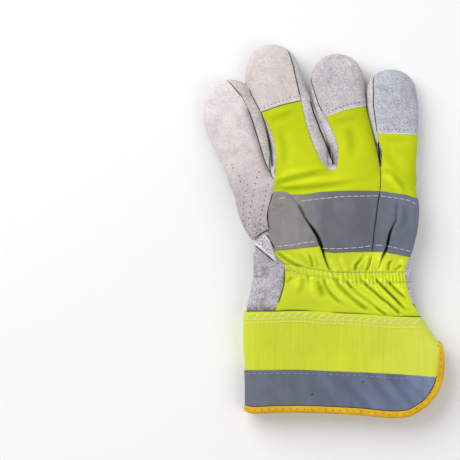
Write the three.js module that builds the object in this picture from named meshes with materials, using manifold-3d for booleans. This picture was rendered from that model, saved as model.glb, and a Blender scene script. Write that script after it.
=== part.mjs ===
// A suede work glove for the right hand, lying palm down with its thumb folded under the palm.
// Millimetres. +X points to the little-finger side, +Y to the fingertips and +Z up.
// The origin is on the surface that the glove lies on, under the middle of its outline.
import * as THREE from "three";
import { mergeVertices } from "three/addons/utils/BufferGeometryUtils.js";
import Module from "manifold-3d";

const wasm = await Module();
wasm.setup();

// Driving dimensions
const WALL = 1.6; // suede, or fabric with its lining
const SEAM_GAP = 0.3; // clear space between two pieces that meet at a seam
const TAPE_THICK = 0.8; // reflective tape on top of the fabric
const CUFF_WALL = 1.8; // stiffened canvas cuff
const BINDING_WIDTH = 4.8; // folded tape around the cuff's edge
const BINDING_THICK = 0.8; // of each of its two leaves
const CUFF_FLOOR = SEAM_GAP + TAPE_THICK; // the cuff's canvas is held up by the tape under it
const FINGER_ROUND = 2.5; // superellipse exponents of the cross-sections
const HAND_ROUND = 2.7;
const CUFF_ROUND = 3.6;
const FREE_EDGE = 1.03; // seam position just outside a digit's outline
const ABOVE_ALL = 80; // height that every cutter reaches
const SLIVER = 0.1; // smaller detail than this is dropped from a finished piece

// Each digit: sections from the root to the start of its round tip, then the tip point.
// x, y, z are the middle of a section, half its half width and high its half height.
// left and right are the seams of the back panel, as a share of half: -1 and 1 are the outline.
// cap is where the suede cap ends on those two seams, counted in sections from the root.
const DIGITS = {
  index: {
    cap: null,
    tip: { x: -69.5, y: 108.3 },
    sections: [
      { x: -48.5, y: 25.0, z: 23.0, half: 15.0, high: 7.0, left: -FREE_EDGE, right: 0.95 },
      { x: -53.0, y: 43.0, z: 18.5, half: 16.5, high: 8.2, left: -FREE_EDGE, right: 0.9 },
      { x: -59.4, y: 65.0, z: 12.5, half: 19.5, high: 8.4, left: -FREE_EDGE, right: 0.74 },
      { x: -65.6, y: 84.0, z: 8.8, half: 20.9, high: 8.4, left: -FREE_EDGE, right: 0.62 },
      { x: -67.8, y: 94.5, z: 7.6, half: 17.6, high: 8.2, left: -FREE_EDGE, right: 0.54 },
    ],
  },
  middle: {
    cap: { left: 3.2, right: 3.1 },
    tip: { x: -36.2, y: 133.4 },
    sections: [
      { x: -13.9, y: 25.0, z: 20.5, half: 19.0, high: 7.0, left: -0.95, right: 0.62 },
      { x: -15.6, y: 42.0, z: 17.0, half: 20.8, high: 8.4, left: -0.9, right: 0.64 },
      { x: -18.2, y: 65.0, z: 12.0, half: 19.8, high: 8.6, left: -0.86, right: 0.48 },
      { x: -26.8, y: 88.0, z: 9.2, half: 18.9, high: 8.4, left: -0.98, right: 0.58 },
      { x: -36.4, y: 111.5, z: 7.6, half: 19.6, high: 8.2, left: -FREE_EDGE, right: 0.78 },
    ],
  },
  ring: {
    cap: { left: 2.95, right: 2.95 },
    tip: { x: 10.4, y: 126.7 },
    sections: [
      { x: 24.7, y: 25.0, z: 17.8, half: 16.5, high: 7.0, left: -0.8, right: 0.98 },
      { x: 23.2, y: 45.0, z: 14.8, half: 17.0, high: 8.2, left: -0.8, right: 0.99 },
      { x: 19.4, y: 65.0, z: 11.0, half: 16.6, high: 8.4, left: -0.64, right: FREE_EDGE },
      { x: 12.8, y: 86.0, z: 8.8, half: 18.2, high: 8.4, left: -0.7, right: FREE_EDGE },
      { x: 9.5, y: 106.5, z: 7.6, half: 19.1, high: 8.2, left: -0.92, right: FREE_EDGE },
    ],
  },
  little: {
    cap: { left: 2.32, right: 2.11 },
    tip: { x: 49.6, y: 115.4 },
    sections: [
      { x: 53.6, y: 25.0, z: 14.5, half: 12.5, high: 7.0, left: -0.98, right: FREE_EDGE },
      { x: 53.3, y: 45.0, z: 12.4, half: 13.2, high: 8.0, left: -0.98, right: FREE_EDGE },
      { x: 52.2, y: 65.0, z: 9.6, half: 15.4, high: 8.2, left: -0.88, right: FREE_EDGE },
      { x: 49.8, y: 86.5, z: 8.2, half: 18.0, high: 8.2, left: -0.74, right: FREE_EDGE },
      { x: 48.4, y: 99.5, z: 7.6, half: 17.6, high: 8.2, left: -0.76, right: FREE_EDGE },
    ],
  },
};

// The hand, from the finger roots to its end inside the cuff. left and right are the outline,
// zl and zr the middle height there. fabric_left and fabric_right bound the two fabric panels,
// seam is the line between them, and gather is the height of the puckers.
const HAND = [
  { y: 46.0, left: -64, right: 64.5, zl: 18.5, zr: 11.8, high: 4.5, fabric_left: -36, seam: 40.2, fabric_right: 72, gather: 0 },
  { y: 38.0, left: -66.3, right: 66.0, zl: 21.8, zr: 12.8, high: 7.8, fabric_left: -35, seam: 40.4, fabric_right: 72, gather: 0 },
  { y: 30.0, left: -64.5, right: 66.5, zl: 24.0, zr: 13.5, high: 9.2, fabric_left: -35.4, seam: 39.9, fabric_right: 72, gather: 0 },
  { y: 20.0, left: -62.0, right: 67.6, zl: 25.0, zr: 14.2, high: 9.4, fabric_left: -38.0, seam: 38.2, fabric_right: 72, gather: 0 },
  { y: 9.0, left: -59.2, right: 67.6, zl: 25.4, zr: 14.6, high: 9.5, fabric_left: -40.3, seam: 36.8, fabric_right: 72, gather: 0 },
  { y: 0.0, left: -55.6, right: 66.6, zl: 25.2, zr: 14.6, high: 9.6, fabric_left: -39.6, seam: 35.5, fabric_right: 72, gather: 0 },
  { y: -9.0, left: -50.8, right: 64.4, zl: 24.4, zr: 14.4, high: 9.9, fabric_left: -37.4, seam: 34.7, fabric_right: 72, gather: 0 },
  { y: -17.0, left: -50.2, right: 62.8, zl: 22.8, zr: 14.0, high: 10.3, fabric_left: -34.0, seam: 33.4, fabric_right: 62.4, gather: 0.7 },
  { y: -23.0, left: -50.2, right: 62.6, zl: 21.2, zr: 13.7, high: 10.2, fabric_left: -28.8, seam: 32.0, fabric_right: 59.0, gather: 1.1 },
  { y: -28.0, left: -50.2, right: 62.6, zl: 20.0, zr: 13.5, high: 9.2, fabric_left: -27.6, seam: 31.4, fabric_right: 58.0, gather: 0.7 },
  { y: -34.5, left: -50.8, right: 62.9, zl: 18.6, zr: 13.2, high: 9.2, fabric_left: -28.2, seam: 33.0, fabric_right: 58.2, gather: 0.7 },
  { y: -40.0, left: -51.8, right: 63.3, zl: 17.4, zr: 13.0, high: 10.2, fabric_left: -29.0, seam: 37.0, fabric_right: 59.4, gather: 1.4 },
  { y: -48.0, left: -53.6, right: 64.7, zl: 16.0, zr: 12.7, high: 10.3, fabric_left: -31.6, seam: 42.0, fabric_right: 61.6, gather: 1.1 },
  { y: -55.0, left: -54.2, right: 65.6, zl: 14.6, zr: 12.6, high: 9.4, fabric_left: -34.0, seam: 47.0, fabric_right: 65.2, gather: 0.4 },
  { y: -66.0, left: -52.4, right: 66.5, zl: 13.2, zr: 12.6, high: 8.8, fabric_left: -35.0, seam: 51.0, fabric_right: 73, gather: 0 },
];
const HAND_TOP_COLUMNS = 32;
const HAND_UNDER_COLUMNS = 8;
const GATHER_FADE = { y: -26, x: -30, width: 45 }; // the puckers are low on the thumb side
const FOLD_DRIFT = 17; // how far the diagonal folds run to the right on their way to the cuff
const FOLD_DRIFT_FROM = -30;
const FOLD_DRIFT_TO = -58;

// Tucks across the hand: a valley from one point to the other, on the back only.
const TUCKS = [
  { x1: -27, y1: 29, x2: 3, y2: -24, deep: 3.6, wide: 4.2 },
  { x1: 48.5, y1: 8, x2: 41.5, y2: -26, deep: 2.6, wide: 3.4 },
  { x1: 52.0, y1: 24, x2: 49.5, y2: 4, deep: 1.2, wide: 3.6 },
];

// The reflective tape across the hand runs between these two arcs: y at the left, middle and right.
const HAND_TAPE = { x_left: -38, x_mid: 15, x_right: 67.5, top: [28.2, 29.6, 22.6], bottom: [-13.2, -14.4, -18.2] };

// The back panel of the index finger ends on this cut, and the thumb's seam tail lies below it.
const INDEX_PANEL_END = [
  [-39.9, 1.5],
  [-44.4, -0.6],
  [-48.0, -4.2],
  [-53.5, -8.0],
  [-60.0, -10.0],
];
const THUMB_TAIL = [
  [-51.5, -8.6],
  [-47.6, -5.0],
  [-43.9, -1.6],
  [-39.9, -5.6],
  [-37.3, -12.8],
  [-35.0, -20.6],
  [-42.5, -14.6],
];

// The fabric dips here between the middle and ring fingers.
const FABRIC_CROTCH = [
  [1.2, 45.4],
  [5.4, 43.0],
  [8.6, 45.0],
];

// The thumb, from inside the hand round its fold at the outline to the tip under the palm.
// swing is the angle of its width from +Y, in degrees.
const THUMB = [
  { x: -40.0, y: 16.5, z: 25.5, half: 14.5, high: 4.6, swing: 20 },
  { x: -48.0, y: 13.5, z: 21.5, half: 16.0, high: 5.0, swing: 20 },
  { x: -51.2, y: 12.0, z: 14.2, half: 17.0, high: 5.2, swing: 20 },
  { x: -47.5, y: 12.5, z: 7.8, half: 18.0, high: 5.8, swing: 18 },
  { x: -38.0, y: 15.5, z: 5.9, half: 18.6, high: 6.3, swing: 14 },
  { x: -20.0, y: 19.0, z: 5.4, half: 18.8, high: 5.9, swing: 9 },
  { x: -5.0, y: 21.0, z: 4.7, half: 17.6, high: 5.2, swing: 7 },
];
const THUMB_TIP = { x: 10.5, y: 22.8 };

// The cuff as a flattened tube. Below the slit it is wider than its outline, so that its two
// layers end apart at the little-finger side.
const CUFF = [
  { y: -52.0, left: -56.8, right: 66.5, zl: 13.8, zr: 13.2, high: 12.3 },
  { y: -61.0, left: -57.2, right: 70.0, zl: 13.2, zr: 12.8, high: 12.0 },
  { y: -70.0, left: -57.4, right: 75.8, zl: 12.4, zr: 12.2, high: 11.5 },
  { y: -78.5, left: -57.4, right: 82.0, zl: 11.8, zr: 11.6, high: 10.9 },
  { y: -88.0, left: -56.9, right: 93.0, zl: 11.2, zr: 11.0, high: 10.4 },
  { y: -104.0, left: -55.9, right: 98.0, zl: 10.6, zr: 10.6, high: 10.0 },
  { y: -120.0, left: -55.7, right: 98.0, zl: 10.2, zr: 10.2, high: 9.6 },
  { y: -136.0, left: -55.5, right: 98.0, zl: 10.0, zr: 10.0, high: 9.4 },
];
const CUFF_LEFT_BEYOND = -64;
// The cuff's edge as a smooth line, from its top left along the top, down the slit's rounded
// corner and back along the bottom.
const CUFF_TOP_EDGE = [
  [CUFF_LEFT_BEYOND, -57.7],
  [-20, -56.4],
  [30, -59.0],
  [74, -61.6],
];
const CUFF_SLIT_TOP = [83.2, -77.0];
const CUFF_BOUND_EDGE = [
  [83.6, -80.5],
  [86.2, -92.0],
  [85.6, -102.5],
  [81.8, -114.5],
  [73.5, -125.2],
  [62.5, -131.4],
  [50.0, -133.2],
  [22.0, -131.4],
  [-14.0, -129.6],
  [CUFF_LEFT_BEYOND, -129.4],
];
const CUFF_TAPE_TOP = [
  [CUFF_LEFT_BEYOND, -99.2],
  [-17, -98.9],
  [30, -100.8],
  [90, -105.4],
];

// Small tools

const lerp = (a, b, t) => a + (b - a) * t;
const smooth = (t) => {
  const c = Math.min(1, Math.max(0, t));
  return c * c * (3 - 2 * c);
};

// Every numeric column of a table of rows, on a Catmull-Rom curve through the rows.
function rowAt(rows, t) {
  const last = rows.length - 1;
  const i = Math.min(Math.floor(t), last - 1);
  const f = t - i;
  const [a, b, c, d] = [rows[Math.max(i - 1, 0)], rows[i], rows[i + 1], rows[Math.min(i + 2, last)]];
  const out = {};
  for (const key of Object.keys(b)) {
    const slope1 = (c[key] - a[key]) / 2;
    const slope2 = (d[key] - b[key]) / 2;
    const rise = c[key] - b[key];
    out[key] = b[key] + f * slope1 + f * f * (3 * rise - 2 * slope1 - slope2) + f ** 3 * (slope1 + slope2 - 2 * rise);
  }
  return out;
}

// Heights above and below the middle of a cross-section, for u from -1 to 1 across it.
const crown = (u, round) => Math.pow(Math.max(0, 1 - Math.pow(Math.abs(u), round)), 1 / round);

// Points across a section, closer together towards its two edges as spread goes from 1 to 1.5.
function columns(count, spread = 1.5) {
  return Array.from({ length: count + 1 }, (_, i) => {
    const t = 1 - (2 * i) / count;
    return t * (spread - (spread - 1) * t * t);
  });
}

// A closed solid from rings of points, each ring with as many points as the next.
function skin(rings) {
  const n = rings[0].length;
  const points = rings.flat();
  const middle = (ring) => ring.reduce((sum, p) => sum.map((v, k) => v + p[k] / n), [0, 0, 0]);
  points.push(middle(rings[0]), middle(rings[rings.length - 1]));
  const faces = [];
  for (let r = 0; r + 1 < rings.length; r += 1) {
    for (let i = 0; i < n; i += 1) {
      const j = (i + 1) % n;
      const [a, b, c, d] = [r * n + i, r * n + j, (r + 1) * n + j, (r + 1) * n + i];
      faces.push([a, b, c], [a, c, d]);
    }
  }
  const end = (rings.length - 1) * n;
  for (let i = 0; i < n; i += 1) {
    const j = (i + 1) % n;
    faces.push([points.length - 2, j, i], [points.length - 1, end + i, end + j]);
  }
  return solidOf(points, faces);
}

// A manifold-3d solid from points and triangles, turned to face outwards.
function solidOf(points, faces) {
  const volume = faces.reduce((sum, [a, b, c]) => {
    const [p, q, r] = [points[a], points[b], points[c]];
    const cross = [q[1] * r[2] - q[2] * r[1], q[2] * r[0] - q[0] * r[2], q[0] * r[1] - q[1] * r[0]];
    return sum + p[0] * cross[0] + p[1] * cross[1] + p[2] * cross[2];
  }, 0);
  const facing = volume < 0 ? faces.map(([a, b, c]) => [a, c, b]) : faces;
  const mesh = new wasm.Mesh({
    numProp: 3,
    vertProperties: new Float32Array(points.flat()),
    triVerts: new Uint32Array(facing.flat()),
  });
  return new wasm.Manifold(mesh);
}

// A solid with this outline, from below the glove to above it.
function prism(outline) {
  const shape = new THREE.Shape(outline.map(([x, y]) => new THREE.Vector2(x, y)));
  const geometry = new THREE.ExtrudeGeometry(shape, { depth: ABOVE_ALL + 10, bevelEnabled: false });
  geometry.translate(0, 0, -10);
  geometry.deleteAttribute("normal");
  geometry.deleteAttribute("uv");
  const merged = mergeVertices(geometry, 1e-4);
  const p = merged.getAttribute("position");
  const points = Array.from({ length: p.count }, (_, i) => [p.getX(i), p.getY(i), p.getZ(i)]);
  const index = Array.from(merged.index.array);
  const faces = Array.from({ length: index.length / 3 }, (_, i) => index.slice(3 * i, 3 * i + 3));
  return solidOf(points, faces);
}

// An outline moved outwards by grow, or inwards where grow is negative.
function grown(outline, grow) {
  const n = outline.length;
  const area = outline.reduce((sum, [x, y], i) => {
    const [p, q] = outline[(i + 1) % n];
    return sum + x * q - p * y;
  }, 0);
  const side = Math.sign(area) * grow;
  return outline.map(([x, y], i) => {
    const [px, py] = outline[(i + n - 1) % n];
    const [qx, qy] = outline[(i + 1) % n];
    const before = new THREE.Vector2(x - px, y - py).normalize();
    const after = new THREE.Vector2(qx - x, qy - y).normalize();
    const along = before.clone().add(after).normalize();
    const miter = Math.max(0.5, along.dot(after));
    return [x + (along.y * side) / miter, y - (along.x * side) / miter];
  });
}

// Points on a smooth line through the given ones.
function curve(points, steps) {
  const line = new THREE.SplineCurve(points.map(([x, y]) => new THREE.Vector2(x, y)));
  return line.getPoints(steps).map((p) => [p.x, p.y]);
}

const joined = (solids) => wasm.Manifold.union(solids);
const largest = (solid) => solid.decompose().reduce((a, b) => (b.volume() > a.volume() ? b : a));

// A piece as it is kept: one body, without the slivers that cutting leaves.
const piece = (solid) => largest(solid.simplify(SLIVER));

// Cross-sections

// One section as a ring of points. part is "full" for the whole ring, or "upper" for its upper
// half closed by a straight line at the middle height, lifted by lift.
function ring(section, { offset = 0, floor = 0, top, under, spread, part = "full", lift = 0 }) {
  const { x, y, z, acrossX, acrossY, half, high, lean = 0, round, relief } = section;
  const wide = half + offset;
  const tall = high + offset;
  const at = (u, side, column) => {
    const v = side * crown(u, round);
    const [px, py] = [x + acrossX * wide * u, y + acrossY * wide * u];
    const raised = side > 0 && relief ? relief(u, column, px) * Math.min(1, 1.6 * v) : 0;
    const height = z + lean * wide * u + tall * v + raised;
    return [px + (section.drift ? section.drift(u) * Math.sign(side + 1) : 0), py, Math.max(height, floor - offset) + lift];
  };
  const upper = columns(top, spread).map((u, i) => at(u, 1, i));
  if (part === "upper") return upper;
  const lower = columns(under, spread).slice(1, -1).reverse().map((u) => at(u, -1, 0));
  return [...upper, ...lower];
}

const FINGER_COUNTS = { top: 8, under: 6 };
const HOLLOW_COUNTS = { top: 8, under: 4 };
const DOME_STEPS = 3;
const SEAM_NARROWING = 0.9;

// The sections of a digit, from its root to its tip, with the position t of each.
function digitSections(digit, { offset = 0, steps = 2 } = {}) {
  const { sections, tip } = digit;
  const last = sections.length - 1;
  const placed = [];
  for (let k = 0; k <= last * steps; k += 1) {
    const t = k / steps;
    placed.push({ ...rowAt(sections, t), t });
  }
  const start = sections[last];
  const reach = Math.hypot(tip.x - start.x, tip.y - start.y);
  for (let k = 1; k <= DOME_STEPS; k += 1) {
    const angle = (k / (DOME_STEPS + 0.35)) * (Math.PI / 2);
    const along = (Math.sin(angle) * (reach + offset)) / reach;
    const shrink = Math.cos(angle) ** 0.92;
    const seamSpread = SEAM_NARROWING ** k / shrink; // a seam runs on to meet the outline
    placed.push({
      ...start,
      t: last + k / DOME_STEPS,
      x: lerp(start.x, tip.x, along),
      y: lerp(start.y, tip.y, along),
      half: start.half * shrink,
      high: start.high * Math.cos(angle) ** 0.7,
      left: Math.max(start.left * seamSpread, -FREE_EDGE),
      right: Math.min(start.right * seamSpread, FREE_EDGE),
    });
  }
  return placed.map((s, i) => {
    const before = placed[Math.max(i - 1, 0)];
    const after = placed[Math.min(i + 1, placed.length - 1)];
    const along = new THREE.Vector2(after.x - before.x, after.y - before.y).normalize();
    return { ...s, acrossX: along.y, acrossY: -along.x, round: FINGER_ROUND };
  });
}

// Height added to the hand's back by its tucks.
function tuckAt(x, y) {
  return TUCKS.reduce((sum, { x1, y1, x2, y2, deep, wide }) => {
    const [dx, dy] = [x2 - x1, y2 - y1];
    const t = ((x - x1) * dx + (y - y1) * dy) / (dx * dx + dy * dy);
    if (t < 0 || t > 1) return sum;
    const away = Math.abs((x - x1) * dy - (y - y1) * dx) / Math.hypot(dx, dy);
    const fade = Math.sin(Math.PI * Math.min(1, 0.15 + t * 0.85));
    return sum - deep * fade * Math.exp(-((away / wide) ** 2) * 2);
  }, 0);
}

// A section across the hand or the cuff.
function acrossSection(row, round) {
  const half = (row.right - row.left) / 2;
  return {
    x: (row.left + row.right) / 2,
    y: row.y,
    z: (row.zl + row.zr) / 2,
    lean: (row.zr - row.zl) / (2 * half),
    acrossX: 1,
    acrossY: 0,
    half,
    high: row.high,
    round,
  };
}

function handSections(inside) {
  return HAND.map((row) => {
    const share = smooth((FOLD_DRIFT_FROM - row.y) / (FOLD_DRIFT_FROM - FOLD_DRIFT_TO));
    return {
      ...acrossSection(row, HAND_ROUND),
      relief: (u, column, x) => {
        const reach = smooth((x - GATHER_FADE.x) / GATHER_FADE.width);
        const pucker = row.gather * lerp(0.35, 1, reach) * (column % 2 ? 1 : -1);
        return (inside ? 0 : pucker) + tuckAt(x, row.y);
      },
      drift: (u) => FOLD_DRIFT * share * (1 - u * u) ** 2 * (row.gather > 0 || row.y < FOLD_DRIFT_FROM ? 1 : 0),
    };
  });
}

// Whole bodies

const fingers = Object.keys(DIGITS);
const handCounts = { top: HAND_TOP_COLUMNS, under: HAND_UNDER_COLUMNS, spread: 1.35 };
const CUFF_COUNTS = { top: 14, under: 14 };

function fingerBody(name, options) {
  const sections = digitSections(DIGITS[name], options);
  return skin(sections.map((s) => ring(s, { ...FINGER_COUNTS, ...options })));
}

function handBody(options) {
  const sections = handSections(options.inside);
  if (options.inside) {
    sections[0].y -= WALL;
    sections.push({ ...sections[sections.length - 1], y: sections[sections.length - 1].y - 4 });
  }
  return skin(sections.map((s) => ring(s, { ...handCounts, ...options })));
}

function cuffBody(options) {
  const sections = CUFF.map((row) => acrossSection(row, CUFF_ROUND));
  const ends = { first: sections[0], last: sections[sections.length - 1] };
  if (options.inside) {
    ends.first.y += 2;
    ends.last.y -= 2;
  }
  return skin(sections.map((s) => ring(s, { ...CUFF_COUNTS, floor: CUFF_FLOOR, ...options })));
}

// The thumb turns under the palm, so its rings stand across its path in space.
function thumbBody(offset) {
  const steps = 2;
  const path = [];
  for (let k = 0; k <= (THUMB.length - 1) * steps; k += 1) path.push(rowAt(THUMB, k / steps));
  const start = THUMB[THUMB.length - 1];
  const reach = Math.hypot(THUMB_TIP.x - start.x, THUMB_TIP.y - start.y);
  for (let k = 1; k <= DOME_STEPS; k += 1) {
    const angle = (k / (DOME_STEPS + 0.35)) * (Math.PI / 2);
    const along = (Math.sin(angle) * (reach + offset)) / reach;
    path.push({
      ...start,
      x: lerp(start.x, THUMB_TIP.x, along),
      y: lerp(start.y, THUMB_TIP.y, along),
      z: lerp(start.z, 3.6, along),
      half: start.half * Math.cos(angle) ** 0.92,
      high: start.high * Math.cos(angle) ** 0.6,
    });
  }
  const rings = path.map((s, i) => {
    const before = path[Math.max(i - 1, 0)];
    const after = path[Math.min(i + 1, path.length - 1)];
    const along = new THREE.Vector3(after.x - before.x, after.y - before.y, after.z - before.z).normalize();
    const swing = THREE.MathUtils.degToRad(s.swing);
    const across = new THREE.Vector3(-Math.sin(swing), Math.cos(swing), 0);
    const up = along.clone().cross(across).normalize();
    const us = columns(FINGER_COUNTS.top);
    const sides = [...us.map((u) => [u, 1]), ...us.slice(1, -1).reverse().map((u) => [u, -1])];
    return sides.map(([u, side]) => {
      const v = side * crown(u, FINGER_ROUND);
      const p = new THREE.Vector3(s.x, s.y, s.z)
        .addScaledVector(across, (s.half + offset) * u)
        .addScaledVector(up, (s.high + offset) * v);
      return [p.x, p.y, Math.max(p.z, -offset)];
    });
  });
  return skin(rings);
}

// Outlines of the panels, seen from above

// Points along one seam of a digit, between two positions on it.
function seam(name, side, from, to) {
  return digitSections(DIGITS[name], { steps: 1 })
    .filter((s) => s.t >= from && s.t <= to)
    .map((s) => [s.x + s.acrossX * s.half * s[side], s.y + s.acrossY * s.half * s[side]]);
}

const onSeam = (name, side, t) => {
  const s = { ...rowAt(DIGITS[name].sections, t) };
  const [a, b] = [rowAt(DIGITS[name].sections, t - 0.2), rowAt(DIGITS[name].sections, t + 0.2)];
  const along = new THREE.Vector2(b.x - a.x, b.y - a.y).normalize();
  return [s.x + along.y * s.half * s[side], s.y - along.x * s.half * s[side]];
};

const ROOT = 1.25; // a finger's own seams start here
const WHOLE = DIGITS.index.sections.length;

const handColumn = (key, above, below) =>
  HAND.filter((row) => row.y <= above && row.y >= below).map((row) => [row[key], row.y]);

// The fabric of a finger, up one seam, along the cap line and down the other.
const fabricFinger = (name) => [
  ...seam(name, "left", ROOT, DIGITS[name].cap.left),
  onSeam(name, "left", DIGITS[name].cap.left),
  onSeam(name, "right", DIGITS[name].cap.right),
  ...seam(name, "right", ROOT, DIGITS[name].cap.right).reverse(),
];

const capOutline = (name) => [
  onSeam(name, "left", DIGITS[name].cap.left),
  ...seam(name, "left", DIGITS[name].cap.left, WHOLE),
  ...seam(name, "right", DIGITS[name].cap.right, WHOLE).reverse(),
  onSeam(name, "right", DIGITS[name].cap.right),
];

const BELOW_CUFF_EDGE = HAND[HAND.length - 1].y - 1;
const outlines = {
  main_back: [
    ...handColumn("fabric_left", 40, BELOW_CUFF_EDGE).reverse(),
    ...fabricFinger("middle"),
    ...FABRIC_CROTCH,
    ...fabricFinger("ring"),
    ...handColumn("seam", 40, BELOW_CUFF_EDGE),
  ],
  little_back: [
    ...handColumn("seam", 40, BELOW_CUFF_EDGE).reverse(),
    ...fabricFinger("little"),
    ...handColumn("fabric_right", 40, BELOW_CUFF_EDGE),
  ],
  index_back: [
    ...seam("index", "left", 1.5, WHOLE),
    ...seam("index", "right", ROOT, WHOLE).reverse(),
    ...handColumn("fabric_left", 40, 5),
    ...INDEX_PANEL_END,
    [-72, 10],
    [-76, 40],
  ],
  middle_cap: capOutline("middle"),
  ring_cap: capOutline("ring"),
  little_cap: capOutline("little"),
  thumb_tail: THUMB_TAIL,
};

function tapeArc([left, mid, right]) {
  const { x_left, x_mid, x_right } = HAND_TAPE;
  return curve(
    [
      [x_left - 6, left],
      [x_mid, mid],
      [x_right + 6, right],
    ],
    10,
  );
}
const handTapeOutline = [...tapeArc(HAND_TAPE.top), ...tapeArc(HAND_TAPE.bottom).reverse()];
const fabricSide = [
  ...handColumn("fabric_left", 40, BELOW_CUFF_EDGE),
  [80, BELOW_CUFF_EDGE],
  [80, 40],
];

// Building the pieces

const outer = joined([handBody({}), ...fingers.map((name) => fingerBody(name, {}))]);
const thumbHollow = thumbBody(-WALL);
const hollow = joined([
  handBody({ offset: -WALL, inside: true, top: HAND_TOP_COLUMNS / 2 }),
  ...fingers.map((name) => fingerBody(name, { offset: -WALL, steps: 1, ...HOLLOW_COUNTS })),
  thumbHollow,
]);
const shell = outer.subtract(hollow);

// Everything above the middle height of each section, wider than the glove by offset.
const upperHalf = (offset, lift) => {
  const options = { offset, part: "upper", lift, floor: -ABOVE_ALL };
  return joined([handBody(options), ...fingers.map((name) => fingerBody(name, options))]);
};
const upperPieces = upperHalf(SEAM_GAP, SEAM_GAP / 2);
const upperCuts = upperHalf(3 * SEAM_GAP, -SEAM_GAP / 2);

const solids = {};
for (const [name, outline] of Object.entries(outlines)) {
  const inside = prism(grown(outline, -SEAM_GAP / 2));
  solids[name] = piece(shell.intersect(inside).intersect(upperPieces));
}
const removed = joined(Object.values(outlines).map((outline) => prism(grown(outline, SEAM_GAP / 2))));
solids.palm = piece(shell.subtract(removed.intersect(upperCuts)));

const outsideOuter = joined([
  handBody({ offset: SEAM_GAP }),
  ...fingers.map((name) => fingerBody(name, { offset: SEAM_GAP })),
]);
solids.thumb = piece(thumbBody(0).subtract(hollow).subtract(outsideOuter));

solids.hand_tape = piece(
  handBody({ offset: SEAM_GAP + TAPE_THICK })
    .subtract(handBody({ offset: SEAM_GAP }))
    .intersect(prism(handTapeOutline))
    .intersect(prism(grown(fabricSide, -SEAM_GAP)))
    .intersect(upperHalf(2 * SEAM_GAP + TAPE_THICK, SEAM_GAP)),
);

const bound = curve(CUFF_BOUND_EDGE, 20);
const cuffOutline = [...CUFF_TOP_EDGE, CUFF_SLIT_TOP, ...bound];
const edgeInset = BINDING_THICK + SEAM_GAP;
const insetBound = (inset) => grown(cuffOutline, -inset).slice(CUFF_TOP_EDGE.length);
const withinCuff = (inset) =>
  prism([...CUFF_TOP_EDGE, CUFF_SLIT_TOP, ...insetBound(inset).slice(1)]);

const canvas = cuffBody({}).subtract(cuffBody({ offset: -CUFF_WALL, inside: true }));
solids.cuff = piece(canvas.intersect(withinCuff(edgeInset)));

const tapeLayer = cuffBody({ offset: SEAM_GAP + TAPE_THICK }).subtract(cuffBody({ offset: SEAM_GAP }));
const belowTapeTop = prism([...CUFF_TAPE_TOP, [90, -140], [CUFF_LEFT_BEYOND, -140]]);
solids.cuff_tape = piece(
  tapeLayer.intersect(withinCuff(BINDING_WIDTH + SEAM_GAP)).intersect(belowTapeTop),
);

const leaves = cuffBody({ offset: SEAM_GAP + BINDING_THICK }).subtract(
  cuffBody({ offset: -CUFF_WALL - SEAM_GAP - BINDING_THICK, inside: true }),
);
const slot = cuffBody({ offset: SEAM_GAP })
  .subtract(cuffBody({ offset: -CUFF_WALL - SEAM_GAP, inside: true }))
  .intersect(withinCuff(BINDING_THICK));
const belowSlitTop = prism([
  [CUFF_LEFT_BEYOND, CUFF_SLIT_TOP[1] - 2],
  [100, CUFF_SLIT_TOP[1] - 2],
  [100, -140],
  [CUFF_LEFT_BEYOND, -140],
]);
solids.cuff_binding = piece(
  leaves.intersect(prism(cuffOutline)).subtract(withinCuff(BINDING_WIDTH)).subtract(slot).intersect(belowSlitTop),
);

// Materials and the scene graph

const LOOKS = {
  suede_pale: { color: "#d6d0d0", roughness: 0.95 },
  suede_grey: { color: "#b9b7bf", roughness: 0.95 },
  hi_vis_fabric: { color: "#d3e01a", roughness: 0.75 },
  hi_vis_canvas: { color: "#cbdb3a", roughness: 0.85 },
  reflective: { color: "#757a85", roughness: 0.45 },
  binding: { color: "#f0b81e", roughness: 0.7 },
};
const FINISH = {
  palm: "suede_grey",
  index_back: "suede_pale",
  thumb: "suede_pale",
  thumb_tail: "suede_pale",
  main_back: "hi_vis_fabric",
  little_back: "hi_vis_fabric",
  middle_cap: "suede_pale",
  ring_cap: "suede_grey",
  little_cap: "suede_grey",
  hand_tape: "reflective",
  cuff: "hi_vis_canvas",
  cuff_tape: "reflective",
  cuff_binding: "binding",
};

function meshOf(name, solid) {
  const { vertProperties, triVerts } = solid.getMesh();
  const geometry = new THREE.BufferGeometry();
  geometry.setAttribute("position", new THREE.BufferAttribute(vertProperties, 3));
  geometry.setIndex(new THREE.BufferAttribute(triVerts, 1));
  geometry.computeVertexNormals();
  const look = LOOKS[FINISH[name]];
  const mesh = new THREE.Mesh(geometry, new THREE.MeshStandardMaterial({ ...look, metalness: 0, side: THREE.DoubleSide }));
  mesh.name = name;
  return mesh;
}

const glove = new THREE.Group();
for (const name of Object.keys(FINISH)) glove.add(meshOf(name, solids[name]));

export default glove;
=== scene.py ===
# The looks of a suede and high-visibility work glove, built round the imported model.
# Shapes are worked out in millimetres in the part's frame, and made in metres.
import math
import bpy
import numpy as np
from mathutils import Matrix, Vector
from mathutils.bvhtree import BVHTree


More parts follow.
